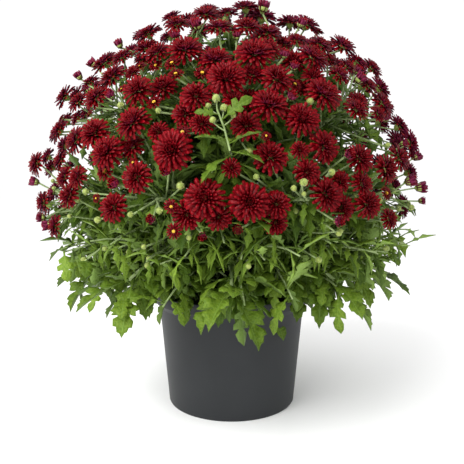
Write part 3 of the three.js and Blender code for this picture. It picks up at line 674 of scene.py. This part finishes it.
# The end of each side shoot: degrees round from its stem's own end, degrees above it, and depth
# under the dome of flowers.
LOW_SIDE_SHOOTS = (
    (-16, -16, 0.030), (13, -8, 0.045), (2, -27, 0.020), (-7, 4, 0.060), (-20, 9, 0.050), (7, -12, 0.010),
    (-10, -9, 0.014), (18, -14, 0.012),
)
HIGH_SIDE_SHOOTS = (
    (-20, 8, 0.050), (18, -6, 0.045), (3, -14, 0.060), (-6, 12, 0.065), (12, 6, 0.04), (-7, -21, 0.040),
)
LOW_LATITUDE = 10
STEEPEST_LATITUDE = 70
STEM_SEED = 100


def dressed_stem(name, path, longitude, latitude, seed):
    """A main stem with its large leaves, its small ones and its side shoots."""
    rng = random.Random(seed)
    bm = new_leafage()
    radii = [STEM_RADIUS - STEM_TAPER * k / (len(path) - 1) for k in range(len(path))]
    add_stem(bm, path, radii, STEM_SIDES)
    for foot, along, up, length, droop in plain_leaves(name):
        # Painted shade: leaves deep in the plant get a lower tone, with a random tone on top.
        tone = 0.16 + 0.48 * light_on(foot + along * length) * rng.uniform(0.2, 1.1)
        bent = droop + rng.uniform(0, 0.15)
        width = rng.uniform(0.70, 0.88)
        cup = rng.uniform(0.3, 1.2)
        add_leaf(bm, leaf_blank, foot, along, up, length, bent, width, cup, rng.uniform(0, 6), tone)
    add_leaves_along(bm, path, 0.25, 0.032, 0.054, rng)
    add_leaves_along(bm, path[2:9], 0, 0.034, 0.050, rng)
    low = latitude < LOW_LATITUDE
    for around, above, depth in LOW_SIDE_SHOOTS if low else HIGH_SIDE_SHOOTS:
        reach = around / math.cos(math.radians(min(latitude, STEEPEST_LATITUDE)))
        end = in_dome(longitude + reach + rng.uniform(-5, 5), latitude + above + rng.uniform(-4, 4),
                      depth + rng.uniform(-0.01, 0.01))
        share = rng.uniform(0.3, 0.6) if low else rng.uniform(0.55, 0.85)
        add_side_shoot(bm, path, share, end, rng)
    finish_piece(bm, name + "_leaves", (leaf_green, stem_green), "leaf", name)


for i, (name, stem) in enumerate(stems.items()):
    dressed_stem(name, *stem, STEM_SEED + i)


# Flowers
# A double flower is a cushion of narrow crimson petals in rings, the outer ones flat or drooping
# and the inner ones curled in, with duller magenta backs. Younger ones show a yellow middle, or
# are still upright tumblers or round green buds.
FULL_TURN = 6.28
GOLDEN_TURN = 137.508

# A petal's width in shares of its greatest, at shares of its length.
PETAL_STATIONS = ((0.0, 0.36), (0.5, 0.86), (0.86, 1.0), (1.0, 0.58))
INNER_PETAL_STATIONS = ((0.0, 0.45), (0.62, 1.0), (1.0, 0.55))
PETAL_SECTION = ((0, -1, 0.30), (0, 0, -0.10), (0, 1, 0.30), (0, 0, 0.10))


def make_petal_blank(name, stations):
    """A straight petal one unit long and two wide: a strap with a shallow channel."""
    bm = bmesh.new()
    ring = [bm.verts.new(corner) for corner in PETAL_SECTION]
    cap = bm.faces.new(ring)
    last = (0.0, 1.0)
    for k, (along, width) in enumerate(stations):
        if k > 0:
            made = bmesh.ops.extrude_face_region(bm, geom=[cap])["geom"]
            ring = [v for v in made if isinstance(v, bmesh.types.BMVert)]
            cap = next(f for f in made if isinstance(f, bmesh.types.BMFace))
        bmesh.ops.scale(bm, vec=(1, width / last[1], width / last[1]), verts=ring)
        bmesh.ops.translate(bm, vec=(along - last[0], 0, 0), verts=ring)
        last = (along, width)
    bmesh.ops.recalc_face_normals(bm, faces=bm.faces)
    under = bm.faces.layers.float.new("under")
    uv = bm.loops.layers.uv.new("flat")
    bm.normal_update()
    for face in bm.faces:
        face[under] = 1.0 if face.normal.z < 0 else 0.0
        face.smooth = True
        for loop in face.loops:
            loop[uv].uv = loop.vert.co.xy
    return as_mesh(bm, name)


petal_blank = make_petal_blank("petal_blank", PETAL_STATIONS)
inner_petal_blank = make_petal_blank("inner_petal_blank", INNER_PETAL_STATIONS)


def add_petal(bm, blank, around, length, width, root_angle, tip_angle, root_out, root_up, tone):
    """Bends a petal upwards or down as it goes out from the flower's middle."""
    corners = add_copy(bm, blank)
    tones = bm.verts.layers.float["tone"]
    low = math.radians(root_angle)
    high = math.radians(tip_angle)
    turn = Matrix.Rotation(around, 3, "Z")
    for v in corners:
        share, across, height = v.co
        angle = low + (high - low) * share / 2
        tilt = low + (high - low) * share
        out = root_out + share * length * math.cos(angle) - height * width * math.sin(tilt)
        up = root_up + share * length * math.sin(angle) + height * width * math.cos(tilt)
        v.co = turn @ Vector((out, across * width / 2, up))
        v[tones] = tone


OUTER_WHORLS = 2


def make_flower(name, whorls, blank, seed):
    """A flower of unit radius, with the given petal in its outer whorls."""
    rng = random.Random(seed)
    bm = bmesh.new()
    bm.verts.layers.float.new("tone")
    for k, (count, length, width, low, high, out, up, tone) in enumerate(whorls):
        start = rng.uniform(0, FULL_TURN)
        petal = blank if k < OUTER_WHORLS else inner_petal_blank
        for i in range(count):
            around = start + 2 * math.pi * (i + rng.uniform(-0.16, 0.16)) / count
            lift = rng.uniform(-5, 5)
            long = length * rng.uniform(0.9, 1.04)
            wide = width * rng.uniform(0.88, 1.08)
            curled = high + lift + rng.uniform(-5, 5)
            shaded = tone * rng.uniform(0.75, 1.2)
            add_petal(bm, petal, around, long, wide, low + lift, curled, out, up, shaded)
    return as_mesh(bm, name)


# Each whorl: petals, length, width, angle at the root and at the tip, distance of the root from
# the middle, its height, and tone, which is lower in the inner whorls as painted shade.
FULL_WHORLS = (
    (18, 1.03, 0.215, 12, -28, 0.04, -0.18, 0.95), (18, 1.00, 0.205, 22, -8, 0.04, -0.14, 1.00),
    (18, 0.89, 0.190, 30, 14, 0.06, -0.11, 0.92), (17, 0.72, 0.165, 34, 40, 0.09, -0.08, 0.82),
    (15, 0.56, 0.155, 42, 62, 0.11, -0.05, 0.74), (13, 0.43, 0.150, 50, 82, 0.11, -0.02, 0.66),
    (9, 0.33, 0.140, 60, 98, 0.08, 0.0, 0.58), (5, 0.26, 0.130, 72, 105, 0.04, 0.0, 0.50),
)
LESS_WHORLS = (
    (16, 1.03, 0.230, 10, -26, 0.05, -0.16, 0.93), (16, 0.99, 0.220, 22, -4, 0.05, -0.13, 0.97),
    (15, 0.84, 0.190, 30, 24, 0.08, -0.09, 0.86), (13, 0.64, 0.170, 38, 52, 0.10, -0.06, 0.75),
    (8, 0.46, 0.165, 48, 78, 0.10, -0.02, 0.65), (5, 0.32, 0.150, 62, 100, 0.06, 0.0, 0.54),
)
YOUNG_WHORLS = (
    (14, 1.0, 0.30, 18, -6, 0.06, -0.07, 0.75), (12, 0.80, 0.28, 34, 12, 0.07, -0.03, 0.58),
    (9, 0.56, 0.24, 52, 40, 0.08, 0.0, 0.40),
)
CUP_WHORLS = (
    (10, 1.46, 0.58, 60, 92, 0.42, -0.75, 1.0), (9, 1.38, 0.54, 72, 96, 0.30, -0.70, 0.95),
    (6, 1.30, 0.48, 84, 98, 0.18, -0.65, 0.90),
)
BRACT_WHORLS = (
    (8, 1.75, 0.62, -12, 150, 0.10, -0.96, 0.5), (7, 1.25, 0.60, -8, 112, 0.10, -1.02, 0.65),
)

# Each kind of flower: its whorls, its outer petal, its first seed, and how many different ones.
FLOWER_KINDS = {
    "full": (FULL_WHORLS, petal_blank, 10, 4),
    "open": (LESS_WHORLS, petal_blank, 20, 4),
    "young": (YOUNG_WHORLS, petal_blank, 30, 3),
    "cup": (CUP_WHORLS, inner_petal_blank, 40, 3),
    "bracts": (BRACT_WHORLS, inner_petal_blank, 50, 2),
}
flower_meshes = {}
for kind, (whorls, blank, seed, number) in FLOWER_KINDS.items():
    flower_meshes[kind] = [make_flower(f"{kind}_{i}", whorls, blank, seed + i) for i in range(number)]


CALYX_FOOT = 0.12
CALYX_SIDES = 10
CALYX_BULGE = 1.25


def make_calyx(name, low, high, radius):
    """The green cup under a flower: a little bell with a cap, for a flower of unit radius."""
    bm = bmesh.new()
    bmesh.ops.create_cone(bm, cap_ends=True, segments=CALYX_SIDES, radius1=CALYX_FOOT, radius2=radius,
                          depth=high - low)
    bmesh.ops.translate(bm, vec=(0, 0, (high + low) / 2), verts=bm.verts)
    sides = [edge for edge in bm.edges if abs(edge.verts[0].co.z - edge.verts[1].co.z) > CLOSE]
    bmesh.ops.subdivide_edges(bm, edges=sides, cuts=1)
    middle = [v for v in bm.verts if abs(v.co.z - (low + high) / 2) < CLOSE]
    bmesh.ops.scale(bm, vec=(CALYX_BULGE, CALYX_BULGE, 1), verts=middle)
    for face in bm.faces:
        face.smooth = True
    return as_mesh(bm, name)


calyx = make_calyx("calyx", -0.45, -0.02, 0.34)
cup_calyx = make_calyx("cup_calyx", -0.98, -0.15, 0.66)


BUD_CORE = 0.86


def make_bud_ball():
    """The round body of a bud of unit radius, inside its bracts."""
    bm = bmesh.new()
    bmesh.ops.create_icosphere(bm, subdivisions=2, radius=BUD_CORE)
    for face in bm.faces:
        face.smooth = True
    return as_mesh(bm, "bud_ball")


bud_ball = make_bud_ball()


EYE_FLORETS = 22
EYE_RADIUS = 0.26
EYE_HEIGHT = 0.20
EYE_ROUNDING = 0.10
FLORET_SIDES = 5
FLORET_FOOT = 0.036
FLORET_MOUTH = 0.052
FLORET_DEPTH = 0.16


def make_eye():
    """The yellow middle of a flower that has just opened: a low heap of tiny florets."""
    bm = bmesh.new()
    for i in range(EYE_FLORETS):
        share = math.sqrt((i + 0.5) / EYE_FLORETS)
        around = i * math.radians(GOLDEN_TURN)
        before = len(bm.verts)
        bmesh.ops.create_cone(bm, cap_ends=True, segments=FLORET_SIDES, radius1=FLORET_FOOT,
                              radius2=FLORET_MOUTH, depth=FLORET_DEPTH)
        bm.verts.ensure_lookup_table()
        place = Vector((EYE_RADIUS * share * math.cos(around), EYE_RADIUS * share * math.sin(around),
                        EYE_HEIGHT - EYE_ROUNDING * share**2))
        bmesh.ops.translate(bm, vec=place, verts=bm.verts[before:])
    return as_mesh(bm, "eye")


eye = make_eye()


def make_petal_red():
    material, nodes, links, surface = plain_material("crimson_petal")
    tone, under, along, _ = add_surface_data(nodes, links)
    streak = add_mottle(nodes, 420)
    # Painted shade: a low tone, given to the inner whorls, mixes towards the darker red; it also differs
    # at random.
    dark = mixed(nodes, links, streak, (0.020, 0.0003, 0.001), (0.040, 0.0005, 0.002))
    bright = mixed(nodes, links, streak, (0.138, 0.0006, 0.003), (0.210, 0.0012, 0.005))
    face = mixed(nodes, links, tone, dark, bright)
    # Painted shade: each petal's face darkens towards its root, deep between the other petals.
    root = mixed(nodes, links, ranged(nodes, links, along, 0.1, 1.0), (0.012, 0.0002, 0.001), face)
    # Painted highlight: the outer end of each petal's face turns paler pink, standing in for glints.
    tip_highlight = mixed(nodes, links, ranged(nodes, links, along, -2.6, 0.4), root, (0.30, 0.008, 0.014))
    purple = mixed(nodes, links, streak, (0.095, 0.005, 0.022), (0.160, 0.016, 0.050))
    inner_back = mixed(nodes, links, streak, (0.070, 0.0005, 0.002), (0.150, 0.0015, 0.006))
    back = mixed(nodes, links, ranged(nodes, links, tone, -3.2, 1.4), inner_back, purple)
    links.new(mixed(nodes, links, under, tip_highlight, back), surface.inputs["Base Color"])
    links.new(ranged(nodes, links, streak, 0.20, 0.34), surface.inputs["Roughness"])
    surface.inputs["Specular IOR Level"].default_value = 0.08
    add_bump(nodes, links, streak, surface, 0.2, 0.0003)
    return material


petal_red = make_petal_red()


def make_eye_yellow():
    material, nodes, links, surface = plain_material("eye_yellow")
    grain = add_mottle(nodes, 700)
    tint = mixed(nodes, links, grain, (0.700, 0.360, 0.012), (0.860, 0.600, 0.040))
    links.new(tint, surface.inputs["Base Color"])
    surface.inputs["Roughness"].default_value = 0.6
    return material


eye_yellow = make_eye_yellow()


def make_bud_green():
    material, nodes, links, surface = plain_material("bud_green")
    streak = add_mottle(nodes, 300)
    tint = mixed(nodes, links, streak, (0.150, 0.210, 0.025), (0.280, 0.330, 0.060))
    links.new(tint, surface.inputs["Base Color"])
    surface.inputs["Roughness"].default_value = 0.5
    surface.inputs["Sheen Weight"].default_value = 0.2
    add_bump(nodes, links, streak, surface, 0.25, 0.0003)
    return material


bud_green = make_bud_green()


def levels_from(base, barred):
    """The rings of a plain flower, one after another, from the end of its stalk to its middle."""
    seen = set(base) | barred
    levels = [list(base)]
    while True:
        ring = list(dict.fromkeys(w for v in levels[-1] for w in linked(v) if w not in seen))
        if not ring:
            return levels
        levels.append(ring)
        seen.update(ring)


PLAIN_STEM_RADIUS = 0.0023
PLAIN_STEM_PLAY = 1.5e-5
OPEN_RISE = 0.3
PLAIN_CUP_REACH = 1.1
CUP_SEAT = 0.3

# The number of corners in each ring of a plain flower tells its kind.
KIND_OF_RINGS = {(3, 12, 6, 1): "full", (3, 10, 1): "open", (3, 4, 4, 1): "cup", (3, 4, 1): "bud"}


def plain_flowers(node, start, way):
    """Kind, foot, stalk's end, middle, way and radius of each flower on a spray of the frame. The
    spray's own stem is the one part that is its own radius from its line."""
    bm = welded(node)
    on_stem = set()
    for v in bm.verts:
        if abs((v.co - start).cross(way).length - PLAIN_STEM_RADIUS) < PLAIN_STEM_PLAY:
            on_stem.add(v)
    found = []
    ends = [v for v in bm.verts if v not in on_stem and any(w in on_stem for w in linked(v))]
    while ends:
        base = [ends[0], *[w for w in linked(ends[0]) if w in ends]]
        ends = [v for v in ends if v not in base]
        foot = average([w.co for v in base for w in linked(v) if w in on_stem])
        levels = levels_from(base, on_stem)
        kind = KIND_OF_RINGS.get(tuple(len(level) for level in levels))
        if kind is None:
            continue
        middles = [average([v.co for v in level]) for level in levels]
        centre = middles[1]
        top = middles[-1]
        facing = (top - centre).normalized()
        reach = max((v.co - centre).length for v in levels[1])
        if kind == "open" and (top - centre).length <= OPEN_RISE * reach:
            kind = "young"
        if kind == "cup":
            reach = (middles[2] - centre).length / PLAIN_CUP_REACH
            centre = centre + facing * CUP_SEAT * reach
        found.append((kind, foot, middles[0], centre, facing, reach))
    bm.free()
    return found


BUD_FINISH = 2


def set_in(bm, mesh, matrix, finish):
    """Adds a copy of a mesh at a place, in one of the piece's finishes."""
    first_face = len(bm.faces)
    corners = add_copy(bm, mesh)
    bm.faces.ensure_lookup_table()
    bmesh.ops.transform(bm, matrix=matrix, verts=corners)
    for face in bm.faces[first_face:]:
        face.material_index = finish


def facing_matrix(centre, way, radius, twist):
    turn = way.to_track_quat("Z", "Y").to_matrix().to_4x4()
    return Matrix.Translation(centre) @ turn @ Matrix.Rotation(twist, 4, "Z") @ Matrix.Scale(radius, 4)


# Sprays
# The top of every main shoot branches into 8 to 31 stalks, each with a flower or a bud and with
# small leaves. Petals are one piece and the green parts another.
BUD_STALK_POINTS = 5
BUD_STALK_RADII = (0.0010, 0.0009, 0.0008, 0.0008, 0.0008, 0.0009)
BUD_STALK_SAG = 0.012
BUD_SEAT = 0.8


def add_bud_stalk(green, path, end, rng):
    """A thin bare side stalk that ends in a bud which is still closed."""
    foot, _ = point_on(path, rng.uniform(0.5, 0.85) * length_of(path))
    way = curve_points([foot], foot.lerp(end, 0.6) - UP * BUD_STALK_SAG, end, BUD_STALK_POINTS)
    add_stem(green, way, BUD_STALK_RADII, THIN_SIDES)
    radius = rng.uniform(0.0025, 0.0038)
    facing = (way[-1] - way[-2]).normalized()
    place = facing_matrix(end + facing * radius * BUD_SEAT, facing, radius, rng.uniform(0, FULL_TURN))
    set_in(green, bud_ball, place, BUD_FINISH)
    set_in(green, flower_meshes["bracts"][0], place, BUD_FINISH)


FLOWER_REACH = {"full": 1.03, "open": 1.03, "cup": 1.22, "young": 1, "bud": 1}
OPENING_SHARE = 0.45
OPENING_SIZE = 0.85
eyes = bmesh.new()


def add_head(red, green, kind, centre, facing, radius, rng):
    """A bud in its bracts, a half-open flower in its cup, or an open one on its calyx. Some buds
    show their first petals."""
    place = facing_matrix(centre, facing, radius * FLOWER_REACH[kind], rng.uniform(0, FULL_TURN))
    if kind == "bud":
        set_in(green, bud_ball, place, BUD_FINISH)
        set_in(green, rng.choice(flower_meshes["bracts"]), place, BUD_FINISH)
        if rng.random() < OPENING_SHARE:
            set_in(red, rng.choice(flower_meshes["cup"]), place @ Matrix.Scale(OPENING_SIZE, 4), 0)
    elif kind == "cup":
        set_in(green, cup_calyx, place, BUD_FINISH)
        set_in(red, rng.choice(flower_meshes["cup"]), place, 0)
    else:
        set_in(green, calyx, place, BUD_FINISH)
        set_in(red, rng.choice(flower_meshes[kind]), place, 0)
    if kind == "young":
        set_in(eyes, eye, place, 0)


STALK_POINTS = 4
STALK_RADII = (0.0011, 0.001, 0.00095, 0.0009, 0.0010)
STALK_BOW = 0.0012
STALK_ROOT = 0.001
STALK_LEAF_GAP = 0.011


def add_stalk(green, foot, end, rng):
    """A flower's stalk, a little bowed, from inside the spray's stem."""
    bow = Vector((rng.uniform(-1, 1), rng.uniform(-1, 1), rng.uniform(-1.5, 0))) * STALK_BOW
    root = foot - (end - foot).normalized() * STALK_ROOT
    path = curve_points([root], foot.lerp(end, 0.55) + bow, end, STALK_POINTS)
    add_stem(green, path, STALK_RADII, THIN_SIDES)


def add_stalk_leaves(green, foot, end, rng):
    """Small leaves along a flower's stalk, shorter close to the flower."""
    stalk = end - foot
    way = stalk.normalized()
    for k in range(int(stalk.length / STALK_LEAF_GAP)):
        share = min(0.9, (STALK_LEAF_GAP * k + rng.uniform(0.002, 0.010)) / stalk.length)
        at = foot.lerp(end, share)
        aside = way.cross(Vector((rng.uniform(-1, 1), rng.uniform(-1, 1), rng.uniform(-1, 1))))
        along = (way * 0.6 + aside.normalized() * rng.uniform(0.5, 1.1)).normalized()
        room = (1 - share) * stalk.length
        length = min(rng.uniform(0.020, 0.042), room * 0.9 + 0.006)
        up = (along.cross(UP.cross(along)) + aside * 0.4).normalized()
        if below_flowers(at + along * length):
            droop = rng.uniform(0.1, 0.5)
            cup = rng.uniform(0.1, 0.4)
            phase = rng.uniform(0, 6)
            add_leaf(green, small_leaf_blank, at, along, up, length, droop, 1.0, cup, phase,
                     rng.uniform(0.1, 0.6))


SPRAY_STEM_RADII = (0.0022, 0.0020, 0.0017)
SPRAY_SEED = 500
LOW_BUD_STALKS = 6


def dressed_spray(index, longitude, latitude):
    """A spray: its stem, and on it the stalks with their leaves and flowers. A low one has some
    bud stalks too, from the main stem below it."""
    rng = random.Random(SPRAY_SEED + index)
    way = heading(longitude, latitude)
    start = in_dome(longitude, latitude, SPRAY_DEPTH)
    node = f"bloom_spray_{index + 1:02d}"
    red = bmesh.new()
    red.verts.layers.float.new("tone")
    green = new_leafage()
    deepest = 0.0
    for kind, foot, end, centre, facing, radius in plain_flowers(node, start, way):
        deepest = max(deepest, (foot - start).dot(way))
        add_stalk(green, foot, end, rng)
        add_head(red, green, kind, centre, facing, radius, rng)
        add_stalk_leaves(green, foot, end, rng)
    main_path = stems[f"leafy_stem_{index + 1:02d}"][0]
    for _ in range(LOW_BUD_STALKS if latitude < LOW_LATITUDE else 0):
        end = in_dome(longitude + rng.uniform(-20, 20), rng.uniform(-16, 4), rng.uniform(0.004, 0.03))
        add_bud_stalk(green, main_path, end, rng)
    axis = [start, start + way * deepest * 0.5, start + way * deepest]
    add_stem(green, axis, SPRAY_STEM_RADII, STEM_SIDES)
    add_leaves_along(green, axis, 0.05, 0.026, 0.044, rng)
    finish_piece(red, f"petals_{index + 1:02d}", (petal_red,), "petal", node)
    finish_piece(green, f"stalks_{index + 1:02d}", (leaf_green, stem_green, bud_green), "leaf")


for index, (longitude, latitude, _) in enumerate(shoots):
    dressed_spray(index, longitude, latitude)
finish_piece(eyes, "flower_eyes", (eye_yellow,), "petal")


# Green sprig
# One shoot at the front has not flowered yet. It comes out between the flowers, turns up in front
# of them and ends in five pale buds.
SPRIG_LATITUDE = 14
SPRIG_FOOT = 0.051
SPRIG_RADIUS = 0.0022
SPRIG_TAPER = 0.0014
SPRIG_TOP_LENGTH = 0.04
SPRIG_BUD_SIZE = 0.88
SPRIG_BUD_SEAT = 0.9
SPRIG_STALK_RADII = (0.0007, 0.0006, 0.0007)
SPRIG_SEED = 77

# The sprig's path: longitude, latitude and depth under the dome of flowers.
SPRIG_WAY = (
    (0, SPRIG_LATITUDE, 0.072), (0, SPRIG_LATITUDE, 0.040), (0, 12.5, 0.012), (-0.4, 12.5, -0.004),
    (-1.6, 17, -0.009), (-3.2, 20.8, -0.011),
)

# The sprig's buds: longitude, latitude, radius, and how far they stand out of the dome.
SPRIG_BUDS = (
    (-3.4, 22.9, 0.0045, 0.015), (-5.2, 21.6, 0.003, 0.012), (-1.7, 20.9, 0.004, 0.014),
    (0.4, 19.6, 0.003, 0.011), (-4.1, 18.4, 0.0035, 0.013),
)

# The two leaves at its tip: which side, how steeply they rise, their length, and where they grow
# between the last two points of the path.
SPRIG_TIP_LEAVES = ((1, 0.75, 0.032, 0.4), (-1, 0.1, 0.021, 0.7))


def dressed_sprig():
    rng = random.Random(SPRIG_SEED)
    outer = [in_dome(*place) for place in SPRIG_WAY]
    way = heading(0, SPRIG_LATITUDE)
    path = rise_from_soil(0, SPRIG_FOOT, outer[0] - way * STEM_BEND, outer[0]) + outer[1:]
    green = new_leafage()
    radii = [SPRIG_RADIUS - SPRIG_TAPER * (k / len(path)) ** 0.5 for k in range(len(path))]
    add_stem(green, path, radii, STEM_SIDES)
    for foot, along, up, length, droop in plain_leaves("bud_sprig"):
        roll = 0.2 if foot.z > path[-1].z - SPRIG_TOP_LENGTH else 0.9
        upper = (up + way * roll).normalized()
        phase = rng.uniform(0, 6)
        add_leaf(green, leaf_blank, foot, along, upper, length, droop + 0.2, 0.9, 0.4, phase, 0.5)
    sideways = UP.cross(way)
    for aside, rise, length, share in SPRIG_TIP_LEAVES:
        foot = path[-2].lerp(path[-1], share)
        along = (sideways * aside + UP * rise + way * 0.3).normalized()
        add_leaf(green, mid_leaf_blank, foot, along, way + UP * 0.3, length, 0.3, 0.85, 0.5, 2, 0.45)
    add_leaves_along(green, path[:-1], 0.45, 0.030, 0.048, rng)
    add_leaves_along(green, path[-3:], 0.25, 0.013, 0.021, rng)
    for k, (longitude, latitude, radius, out) in enumerate(SPRIG_BUDS):
        centre = in_dome(longitude, latitude, -out)
        facing = (heading(longitude, latitude) + UP * 0.4).normalized()
        place = facing_matrix(centre, facing, radius * SPRIG_BUD_SIZE, k)
        set_in(green, bud_ball, place, BUD_FINISH)
        set_in(green, flower_meshes["bracts"][k % 2], place, BUD_FINISH)
        foot = path[-1].lerp(path[-2], 0.3 * k)
        end = centre - facing * radius * SPRIG_BUD_SEAT
        add_stem(green, [foot, foot.lerp(end, 0.5) - facing * 0.001, end], SPRIG_STALK_RADII, THIN_SIDES)
    finish_piece(green, "sprig_buds", (leaf_green, stem_green, bud_green), "leaf", "bud_sprig")


dressed_sprig()


# Studio
# A plain white floor and backdrop in soft light, with the key light from the upper left, and the
# camera a little above the flowers' middle, as in the photo.
FLOOR_SIZE = 40
WORLD_STRENGTH = 1.06
CAMERA_TILT = 5.55


def make_floor():
    bm = bmesh.new()
    bmesh.ops.create_grid(bm, x_segments=1, y_segments=1, size=FLOOR_SIZE)
    mesh = as_mesh(bm, "floor")
    material, _, _, surface = plain_material("white_floor")
    surface.inputs["Base Color"].default_value = (0.95, 0.95, 0.95, 1)
    surface.inputs["Roughness"].default_value = 0.9
    mesh.materials.append(material)
    floor = bpy.data.objects.new("floor", mesh)
    bpy.context.scene.collection.objects.link(floor)


make_floor()

world = bpy.data.worlds.new("studio")
world.use_nodes = True
backdrop = world.node_tree.nodes["Background"]
backdrop.inputs["Color"].default_value = (1, 1, 1, 1)
backdrop.inputs["Strength"].default_value = WORLD_STRENGTH
bpy.context.scene.world = world
bpy.context.scene.view_settings.view_transform = "Standard"


def add_lamp(name, place, aim, size, power):
    lamp = bpy.data.lights.new(name, "AREA")
    lamp.size = size
    lamp.energy = power
    holder = bpy.data.objects.new(name, lamp)
    holder.location = place
    holder.rotation_euler = (Vector(aim) - Vector(place)).to_track_quat("-Z", "Y").to_euler()
    bpy.context.scene.collection.objects.link(holder)


add_lamp("key", (-1.0, -1.1, 1.4), (0, 0, 0.28), 1.5, 50)
add_lamp("fill", (1.4, -1.2, 0.7), (0, 0, 0.25), 1.2, 2)

camera = bpy.data.cameras.new("camera")
camera.sensor_width = 36
camera.lens = 41.9
camera.shift_x = 0.001
viewer = bpy.data.objects.new("camera", camera)
viewer.location = (0, -0.682, 0.280)
viewer.rotation_euler = (math.radians(90 - CAMERA_TILT), 0, 0)
bpy.context.scene.collection.objects.link(viewer)
bpy.context.scene.camera = viewer
